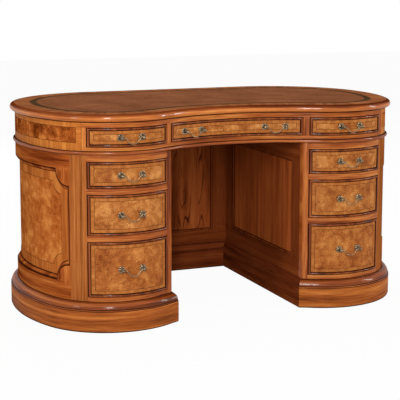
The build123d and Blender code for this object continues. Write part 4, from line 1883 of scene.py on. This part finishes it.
@dataclass
class Kneehole:
    """Framed walls of the kneehole, the modesty frame behind it and its plinth."""

    half_width: float = 0.267
    front_inset: float = -0.022
    frame_thickness: float = 0.018
    panel_recess: float = 0.008
    panel_thickness: float = 0.006
    modesty_face: float = 0.361571
    modesty_half_opening: float = 0.204
    modesty_heights: Spot = (0.164, 0.557)
    wall_heights: Spot = (0.179, 0.557)
    wall_opening: Spot = (-0.269393, 0.293571)
    wall_back: float = 0.400571
    plinth_sides: int = 16
    plinth_drape: float = 0.6
    rim: float = -0.0008
    # The moulding round each opening takes painted shade in its quirks and steps and painted half
    # shade on its round.
    moulding: tuple[tuple[float, float, Dress], ...] = (
        (0.0, -0.0012, Dress.PAINTED_SHADE), (0.0, -0.0024, Dress.PAINTED_SHADE),
        (0.00315, -0.0026, Dress.PAINTED_HALF_SHADE), (0.00675, -0.0046, Dress.PAINTED_HALF_SHADE),
        (0.009, -0.0074, Dress.PAINTED_SHADE), (0.009, -0.0078, Dress.PAINTED_SHADE),
        (0.0, -0.0078, Dress.PAINTED_SHADE),
    )

    def build(self) -> None:
        """Build the frames, the panels and the plinth."""
        front_edge = OUTLINE.distance_at(self.half_width, self.front_inset)
        span = (OUTLINE.place(front_edge, self.front_inset)[1], self.wall_back)
        for side, name in SIDES:
            skin = Skin(f"kneehole_wall_{name}_framed", shift=0.6 * side)
            self.frame(skin, self.on_wall(side), span, self.wall_opening, self.wall_heights)
            skin.build("root", "kneehole_wood", [f"pedestal_{name}_inner_frame"])
        skin = Skin("modesty_framed", shift=0.35)
        span, opening = ((-x, x) for x in (self.half_width, self.modesty_half_opening))
        self.frame(skin, self.on_modesty, span, opening, self.modesty_heights)
        skin.build("root", "kneehole_wood", ["modesty_frame"])
        self.build_panels()
        self.build_plinth()

    def on_wall(self, side: int) -> Surface:
        """Surface of a kneehole wall.

        Args:
            side: 1 for the right wall, -1 for the left.

        Returns:
            A function of y, height and offset into the kneehole.
        """

        def surface(y: float, z: float, out: float) -> Point:
            """Point on the wall."""
            return side * (self.half_width - out), y, z

        return surface

    def on_modesty(self, x: float, z: float, out: float) -> Point:
        """Surface of the modesty frame: x, height, outwards to the sitter."""
        return x, self.modesty_face - out, z

    def frame(
        self, skin: Skin, surface: Surface, span: Spot, opening: Spot, heights: Spot
    ) -> None:
        """A frame round one opening, with a moulding inside it.

        Args:
            skin: the piece being made.
            surface: the wall's face.
            span: its low and high u.
            opening: the opening's low and high u.
            heights: the opening's low and high z.
        """
        skin.solid()
        back = -self.frame_thickness
        plain = {"corner": 0.0, "across": 8, "up": 8, "arc": 0}
        around = Ring(*span, LEVELS.body, LEVELS.pedestal_top, **plain)
        hole = Ring(*opening, *heights, **plain)
        edge, rim = around.spots(), hole.spots(self.rim)
        hoops = [
            Hoop(edge, back, Dress.KNEEHOLE_FRAME),
            Hoop(edge, 0.0, Dress.KNEEHOLE_FRAME),
            Hoop(rim, 0.0, Dress.KNEEHOLE_FRAME, Grain.FRAMED, 3),
            *hole.moulding(self.moulding),
            Hoop(hole.spots(), back, Dress.CARCASS),
            Hoop(edge, back, Dress.KNEEHOLE_FRAME),
        ]
        skin.plate(surface, hoops, heights)

    def build_panels(self) -> None:
        """The three flat panels."""
        skin = Skin("kneehole_panelled", shift=0.15)
        face = -self.panel_recess
        depth = (face - self.panel_thickness, face)
        half = self.modesty_half_opening
        for surface, span, heights, dress in (
            (self.on_wall(1), self.wall_opening, self.wall_heights, Dress.KNEEHOLE),
            (self.on_wall(-1), self.wall_opening, self.wall_heights, Dress.KNEEHOLE),
            (self.on_modesty, (-half, half), self.modesty_heights, Dress.KNEEHOLE_PANEL),
        ):
            skin.board(surface, span, heights, depth, dress, False)
        skin.build("root", "kneehole_wood", ["kneehole_panels"])

    def build_plinth(self) -> None:
        """The plinth under the modesty frame, mitred into the pedestals' plinths."""
        skin = Skin("modesty_plinth_moulded", shift=0.25)
        plinth = Plinth(1, "modesty")
        section, dresses = plinth.section()
        share, back = plinth.kneehole_projection / plinth.projection, -self.frame_thickness
        profile = [(out * share, z) for out, z in section]
        profile = [(back, 0.0), *profile, (back, LEVELS.body), (back, 0.0)]
        # Painted shade stays; the rest takes the plinth's darker copy, painted shade inside the
        # kneehole.
        dresses = [dress if dress is Dress.PAINTED_SHADE else Dress.SHADED_KNEEHOLE_PLINTH for dress in dresses]
        dresses = [Dress.CARCASS, *dresses, Dress.CARCASS, Dress.PLINTH]
        rows, places, count = [], [], self.plinth_sides
        for out, z in profile:
            half = self.half_width - max(out, 0.0)
            xs = [half * (2 * i / count - 1) for i in range(count + 1)]
            rows.append([(x, self.modesty_face - out, z) for x in xs])
            places.append([(z - self.plinth_drape * out, x) for x in xs])
        skin.bridge(rows, places, dresses)
        for end in (0, -1):
            skin.face(
                [row[end] for row in rows[:-1]], [place[end] for place in places[:-1]],
                Dress.PLINTH,
            )
        skin.build("root", "moulding_wood", ["modesty_plinth"])


@dataclass
class Handle:
    """Swan-neck bail between two posts that stand on petalled roses."""

    distance: float
    level: float
    side: int = 1
    spacing: float = 0.080
    reach: float = 0.020
    rose_radius: float = 0.0132
    rose: tuple[Spot, ...] = (
        (0.985, -0.0060), (1.0, 0.0), (1.0, 0.0010), (0.97, 0.0021), (0.90, 0.0030),
        (0.80, 0.0034), (0.70, 0.0031), (0.62, 0.0022), (0.55, 0.0017),
    )
    petals: int = 6
    petal_notch: float = 0.15
    petal_valley: float = 0.30
    petal_round: float = 0.7
    petal_end: float = 0.95
    petal_swell: float = 2.2
    head_radius: float = 0.0065
    head_angles: tuple[int, int, int] = (-46, 74, 12)
    foot: tuple[Spot, ...] = (
        (0.0070, 0.0005), (0.0072, 0.0018), (0.0066, 0.0030), (0.0052, 0.0038), (0.0049, 0.0046),
    )
    neck: tuple[Spot, ...] = (
        (0.0040, 0.0058), (0.0036, 0.0075), (0.0036, 0.0105), (0.0041, 0.0118),
    )
    collar: tuple[Spot, ...] = ((0.0050, 0.0126), (0.0052, 0.0134), (0.0044, 0.0142))
    tip: tuple[Spot, ...] = ((0.0030, 0.02615), (0.0022, 0.02645), (0.0006, 0.0265))
    bail_radius: float = 0.0016
    foot_radius: float = 0.0021
    pin_radius: float = 0.0016
    pin_end: float = 0.0020
    pin_step: float = 0.0003
    eye_inset: float = 0.0025
    eye_radii: tuple[float, ...] = (0.0024, 0.0033, 0.0035, 0.0033, 0.0024)
    eye_start: float = -0.0022
    eye_step: float = 0.0005
    drop: float = 0.0215
    shoulder: float = 0.0025
    foot_half: float = 0.0120
    bends: tuple[float, ...] = (0.0030, 0.0180, 0.0180, 0.0030)
    bend_steps: int = 10
    nut: tuple[Spot, ...] = (
        (0.0063, -0.0240), (0.0070, -0.0235), (0.0070, -0.0205), (0.00665, -0.0195),
    )
    screw: tuple[Spot, ...] = ((0.0021, -0.0290), (0.0030, -0.0284), (0.0030, -0.0200))

    def point(self, along: float, up: float, out: float) -> Point:
        """Point beside the handle's middle.

        Args:
            along: how far along its width.
            up: how far up.
            out: how far outwards.

        Returns:
            The point.
        """
        x, y, heading = OUTLINE.walk(self.distance)
        y += OUTLINE.back_face_y
        return (
            self.side * (x - out * sin(heading) - along * cos(heading)),
            y + out * cos(heading) - along * sin(heading),
            self.level + up,
        )

    def outward(self) -> Vector:
        """Direction out of the drawer front at the handle."""
        way = Vector(self.point(0.0, 0.0, 1.0)) - Vector(self.point(0.0, 0.0, 0.0))
        return way.normalized()

    def lathe(self, skin: Skin, along: float, profile: Sequence[Spot], sides: int = 36,
              lobes: Callable[[float, float], Spot] = lambda share, angle: (1.0, 1.0)) -> None:
        """Turned piece about a post's axis.

        Args:
            skin: the piece being made.
            along: the post's place along the handle.
            profile: (radius, out) points from the back to the front.
            sides: faces round it.
            lobes: factors on radius and height at a share of the profile and an angle.
        """
        skin.solid()
        rows, places = [], []
        for i, (radius, out) in enumerate(profile):
            row, place = [], []
            for k in range(sides + 1):
                angle = tau * (k % sides) / sides
                wide, high = lobes(i / (len(profile) - 1), angle)
                aside, up = radius * wide * cos(angle), radius * wide * sin(angle)
                row.append(self.point(along + aside, up, out * high))
                place.append((radius * angle, out))
            rows.append(row)
            places.append(place)
        skin.close(rows, places, Dress.BRASS)

    def petal(self, share: float, angle: float) -> Spot:
        """Factors that cut the rose into petals.

        Args:
            share: how far along its profile, from its back to its middle.
            angle: the angle about its axis.

        Returns:
            The factors on radius and height.
        """
        lobe = abs(cos(self.petals * angle / 2))
        swell = max(0.0, min(1.0, (self.petal_end - share) * self.petal_swell))
        notch = self.petal_notch * swell * (1 - lobe ** self.petal_round)
        return 1 - notch, 1 - self.petal_valley * (1 - lobe) * swell

    def build_post(self, skin: Skin, along: float) -> None:
        """Rose, post, nut and the end of the screw at one end of the handle.

        Args:
            skin: the piece being made.
            along: the post's place along the handle.
        """
        rose = [(share * self.rose_radius, out) for share, out in self.rose]
        self.lathe(skin, along, rose, sides=72, lobes=self.petal)
        post, head = [*self.foot, *self.neck, *self.collar], self.head_radius
        for degree in range(*self.head_angles):
            angle = radians(degree)
            post.append((head * cos(angle), self.reach + head * sin(angle)))
        self.lathe(skin, along, [*post, *self.tip])
        self.lathe(skin, along, self.nut, sides=6)
        self.lathe(skin, along, self.screw, sides=16)

    def build_bail(self, name: str) -> None:
        """The bail, hung between its posts.

        Args:
            name: the name of its body and of its CAD node.
        """
        skin = Skin(f"{name}_turned")
        end = self.spacing / 2 - self.head_radius + self.pin_end
        eye = self.spacing / 2 - self.head_radius - self.eye_inset
        knee, step = eye - self.shoulder, self.pin_step
        half = [(eye, 0.0), (knee, 0.0), (self.foot_half, -self.drop)]
        corners = [(-u, v) for u, v in half] + half[::-1]
        path = [(-end, 0.0), (-eye - step, 0.0), corners[0]]
        for before, corner, after, radius in zip(corners, corners[1:], corners[2:], self.bends):
            path += self.fillet(before, corner, after, radius)
        path += [corners[-1], (eye + step, 0.0), (end, 0.0)]
        thickness = []
        for i, (u, v) in enumerate(path):
            if i < 2 or i > len(path) - 3:
                thickness.append(self.pin_radius)
            else:
                belly = min(1.0, -v / self.drop) * max(0.0, 1 - abs(u) / self.foot_half)
                more = self.foot_radius - self.bail_radius
                thickness.append(self.bail_radius + more * belly)
        route = [self.point(u, v, self.reach) for u, v in path]
        skin.tube(route, thickness, self.outward(), Dress.BAIL)
        for side in (-1, 1):
            places = [eye + self.eye_start + self.eye_step * i for i in range(len(self.eye_radii))]
            route = [self.point(side * place, 0.0, self.reach) for place in places]
            skin.tube(route, self.eye_radii, self.outward(), Dress.BRASS)
        skin.build(name, "brass", [name])

    def fillet(self, before: Spot, corner: Spot, after: Spot, radius: float) -> list[Spot]:
        """Arc that rounds a corner, as points.

        Args:
            before: the corner before it.
            corner: the corner.
            after: the corner after it.
            radius: the arc's radius.

        Returns:
            The arc's points.
        """
        here = Vector(corner)
        back, ahead = (Vector(before) - here).normalized(), (Vector(after) - here).normalized()
        reach = radius / tan(back.angle(ahead) / 2)
        start, end = here + back * reach, here + ahead * reach
        bent = copysign(radius, back.cross(ahead))
        return [tuple(start), *bend(start, end, bent, self.bend_steps)]


@dataclass
class Drawer:
    """One drawer front with its bead, banding and handles."""

    name: str
    span: Spot
    heights: Spot
    handles: dict[str, Handle]
    gap: float = 0.001
    thickness: float = 0.020
    bead: float = 0.009
    bead_rise: float = 0.003
    bead_lit: Spot = (75, 135)
    quirk: float = 0.0020
    recess: float = 0.001
    band: float = 0.0130
    string_width: float = 0.0013
    field_step: float = 0.025
    veneer: Dress = Dress.BURR
    shift: float = 0.0

    def build(self) -> None:
        """Build the front and its handles."""
        body = f"drawer_{self.name}"
        self.build_front(body)
        skin = Skin(f"{body}_posts_turned")
        for suffix, handle in self.handles.items():
            for along in (-handle.spacing / 2, handle.spacing / 2):
                handle.build_post(skin, along)
            handle.build_bail(f"bail_{self.name}{suffix}")
        skin.build(body, "brass", [f"{body}_posts"])

    def cock_bead(self) -> list[tuple[float, float, Dress]]:
        """Half-round bead about the front, from its flat edge to the crossbanding.

        Returns:
            How far in, how far out and the finish, for each of its sides.
        """
        rise, inner = self.bead_rise, self.bead - self.bead_rise
        # Painted half shade on the front's outer edge, painted shade on the bead's flanks and in
        # the quirk, bead wood on the lit crown.
        profile = [(0.0, -rise, Dress.PAINTED_HALF_SHADE), (0.0, 0.0, Dress.PAINTED_SHADE)]
        for centre, turns in ((rise, (30, 60, 90)), (inner, (90, 120, 150, 180))):
            for degree in turns:
                angle, lit = radians(degree), self.bead_lit[0] < degree < self.bead_lit[1]
                dress = Dress.BEAD if lit else Dress.PAINTED_SHADE
                profile.append((centre - rise * cos(angle), rise * sin(angle), dress))
        profile.append((self.bead, -self.recess, Dress.PAINTED_SHADE))
        return [*profile, (self.bead + self.quirk, -self.recess, Dress.PAINTED_SHADE)]

    def build_front(self, body: str) -> None:
        """The veneered front.

        Args:
            body: the CAD body that it rides on.
        """
        skin = Skin(f"{body}_front_veneered", shift=self.shift)
        gap, wide = self.gap, self.span[1] - self.span[0]
        ring = Ring(
            self.span[0] + gap, self.span[1] - gap, self.heights[0] + gap, self.heights[1] - gap,
            0.0, across=ceil(wide / STATION), up=8, arc=0,
        )
        steps, floor = ceil(wide / self.field_step), -self.recess
        line = self.bead + self.band
        hoops = [
            Hoop(ring.middle(), -self.thickness, Dress.CARCASS),
            Hoop(ring.spots(), -self.thickness, Dress.CARCASS, steps=steps),
            *ring.moulding(self.cock_bead()),
            Hoop(ring.spots(line), floor, Dress.BAND, Grain.CROSSBAND, 2),
            Hoop(ring.spots(line + self.string_width), floor, Dress.STRINGING),
            Hoop(ring.middle(), floor, self.veneer, steps=steps),
        ]
        skin.plate(OUTLINE.on_front(), hoops)
        skin.build(body, "burr_veneer", [f"{body}_front"])


@dataclass
class Drawers:
    """All nine drawers."""

    centre_half: float = 0.267
    centre_handle_x: float = 0.167
    centre_shift: float = 9.1
    shift: float = 0.83

    def build(self) -> None:
        """Build the three frieze drawers and the three of each pedestal."""
        frieze = (LEVELS.frieze_drawer, LEVELS.frieze_drawer_top)
        shift = 0.0
        for side, name in SIDES:
            span = in_order(side, OUTLINE.drawer_inner_x, OUTLINE.drawer_outer_x)
            rows = {f"frieze_{name}": frieze}
            rows |= {f"{name}_{row}": heights for row, heights in DRAWER_ROWS.items()}
            for drawer, heights in rows.items():
                shift += self.shift
                handles = {"": Handle(OUTLINE.bow_peak, sum(heights) / 2, side)}
                veneer = Dress.SPECKLED_BURR if drawer.endswith("lower") else Dress.BURR
                Drawer(drawer, span, heights, handles, veneer=veneer, shift=shift).build()
        middle = OUTLINE.distance_at(self.centre_handle_x, 0.0)
        level, half = sum(frieze) / 2, self.centre_half
        handles = {f"_{name}": Handle(middle, level, side) for side, name in SIDES}
        Drawer("frieze_centre", (-half, half), frieze, handles, shift=self.centre_shift).build()


@dataclass
class Hidden:
    """Inner boards, which keep their CAD shape and get a dry wood finish."""

    plain: tuple[str, ...] = ("frieze_dividers", "pedestal_boards", "drawer_runners")

    def dress(self, nodes: dict[str, bpy.types.Object]) -> None:
        """Give each node its finish.

        Args:
            nodes: the CAD nodes by name.
        """
        boxes = [name for name in nodes if name.endswith("_box")]
        for name in (*self.plain, *sorted(boxes)):
            mesh = nodes[name].data
            mesh.materials.clear()
            mesh.materials.append(material_of(Dress.CARCASS))
            log.info("%s: CAD shape, dressed", name)


@dataclass(frozen=True)
class Lamp:
    """A soft rectangular lamp that faces a point of the desk."""

    name: str
    place: Point
    aim: Point
    size: Spot
    watts: float

    def build(self) -> None:
        """Hang the lamp."""
        light = bpy.data.lights.new(self.name, "AREA")
        light.shape = "RECTANGLE"
        light.size, light.size_y = self.size
        light.energy = self.watts
        lamp = linked(self.name, light)
        lamp.location = self.place
        way = Vector(self.aim) - Vector(self.place)
        lamp.rotation_euler = way.to_track_quat("-Z", "Y").to_euler()


@dataclass
class Studio:
    """Floor, background, lamps and the camera at the photograph's place."""

    floor_half: float = 14.0
    floor_drop: float = 0.0004
    floor_colour: Colour = (0.70, 0.70, 0.70)
    floor_glow: float = 0.96
    white: Colour = (1.0, 1.0, 1.0)
    world_level: float = 0.24
    lamps: tuple[Lamp, ...] = (
        Lamp("key", (-1.9, -4.5, 2.0), (0.0, 0.0, 0.4), (0.60, 2.6), 168.0),
        Lamp("side", (-4.6, -1.9, 2.0), (0.0, 0.0, 0.4), (0.45, 2.4), 52.0),
        Lamp("fill", (4.3, -1.8, 1.8), (0.0, 0.0, 0.4), (0.40, 2.4), 88.0),
        Lamp("top", (0.0, 0.4, 3.4), (0.0, 0.0, 0.7), (2.4, 1.6), 24.0),
        Lamp("rear", (0.5, 4.2, 2.4), (0.0, 0.0, 0.4), (1.4, 1.2), 110.0),
    )
    eye: Point = (-1.8011, -4.3680, 1.2438)
    yaw: float = radians(22.273)
    pitch: float = radians(8.180)
    roll: float = radians(0.060)
    lens: float = 107.82
    shift: Spot = (0.0045, -0.12)
    sensor: float = 36.0

    def build(self) -> None:
        """Set the stage."""
        self.build_floor()
        self.build_background()
        for lamp in self.lamps:
            lamp.build()
        self.build_camera()
        bpy.context.scene.view_settings.view_transform = "Standard"

    def build_floor(self) -> None:
        """Plain pale floor that keeps the desk's shadow."""
        half, drop = self.floor_half, -self.floor_drop
        mesh = bpy.data.meshes.new("floor")
        mesh.from_pydata(
            [(-half, -half, drop), (half, -half, drop), (half, half, drop), (-half, half, drop)],
            [], [(0, 1, 2, 3)],
        )
        shader = Shader.named("floor")
        paint = shader.node("BsdfDiffuse", {}, {"Color": self.floor_colour})
        glow = shader.node("Emission", {}, {"Color": self.white, "Strength": 1.0})
        shown = self.seen(shader) * self.floor_glow
        surface = shader.node("MixShader", {}, {0: shown, 1: paint, 2: glow})
        shader.node("OutputMaterial", {}, {"Surface": surface})
        mesh.materials.append(shader.owner)
        floor = linked("floor", mesh)

    @staticmethod
    def seen(shader: Shader) -> Value:
        """Rays that see the floor and the background.

        Args:
            shader: the nodes being made.

        Returns:
            1 for rays from the camera, from a gloss or through glass.
        """
        camera, glossy, through = (
            shader.node("LightPath", {}, {}, output=name)
            for name in ("Is Camera Ray", "Is Glossy Ray", "Is Transmission Ray")
        )
        return camera.math("MAXIMUM", glossy).math("MAXIMUM", through)

    def build_background(self) -> None:
        """White to the camera and in reflections, and a plain grey light on the desk."""
        shader = Shader(bpy.data.worlds.new("studio"))
        bpy.context.scene.world = shader.owner
        strength = self.seen(shader) * (1 - self.world_level) + self.world_level
        light = shader.node("Background", {}, {"Color": self.white, "Strength": strength})
        shader.node("OutputWorld", {}, {"Surface": light})

    def build_camera(self) -> None:
        """The camera, at the photograph's viewing angle."""
        camera = bpy.data.cameras.new("camera")
        camera.lens = self.lens
        camera.sensor_width = camera.sensor_height = self.sensor
        camera.sensor_fit = "HORIZONTAL"
        camera.shift_x, camera.shift_y = self.shift
        eye = linked("camera", camera)
        look = Vector(
            (sin(self.yaw) * cos(self.pitch), cos(self.yaw) * cos(self.pitch), -sin(self.pitch))
        )
        turn = look.to_track_quat("-Z", "Y").to_matrix() @ Matrix.Rotation(self.roll, 3, "Z")
        eye.location = self.eye
        eye.rotation_euler = turn.to_euler()
        bpy.context.scene.camera = eye


def main() -> None:
    """Build the desk and its studio."""
    logging.basicConfig(level=logging.INFO, format="%(message)s")
    Top().build()
    Frieze().build()
    Waist().build()
    for side, name in SIDES:
        Pedestal(side, name).build()
        Plinth(side, name).build()
    Kneehole().build()
    Drawers().build()
    Hidden().dress(frame["nodes"])
    Studio().build()


if __name__ == "__main__":
    main()
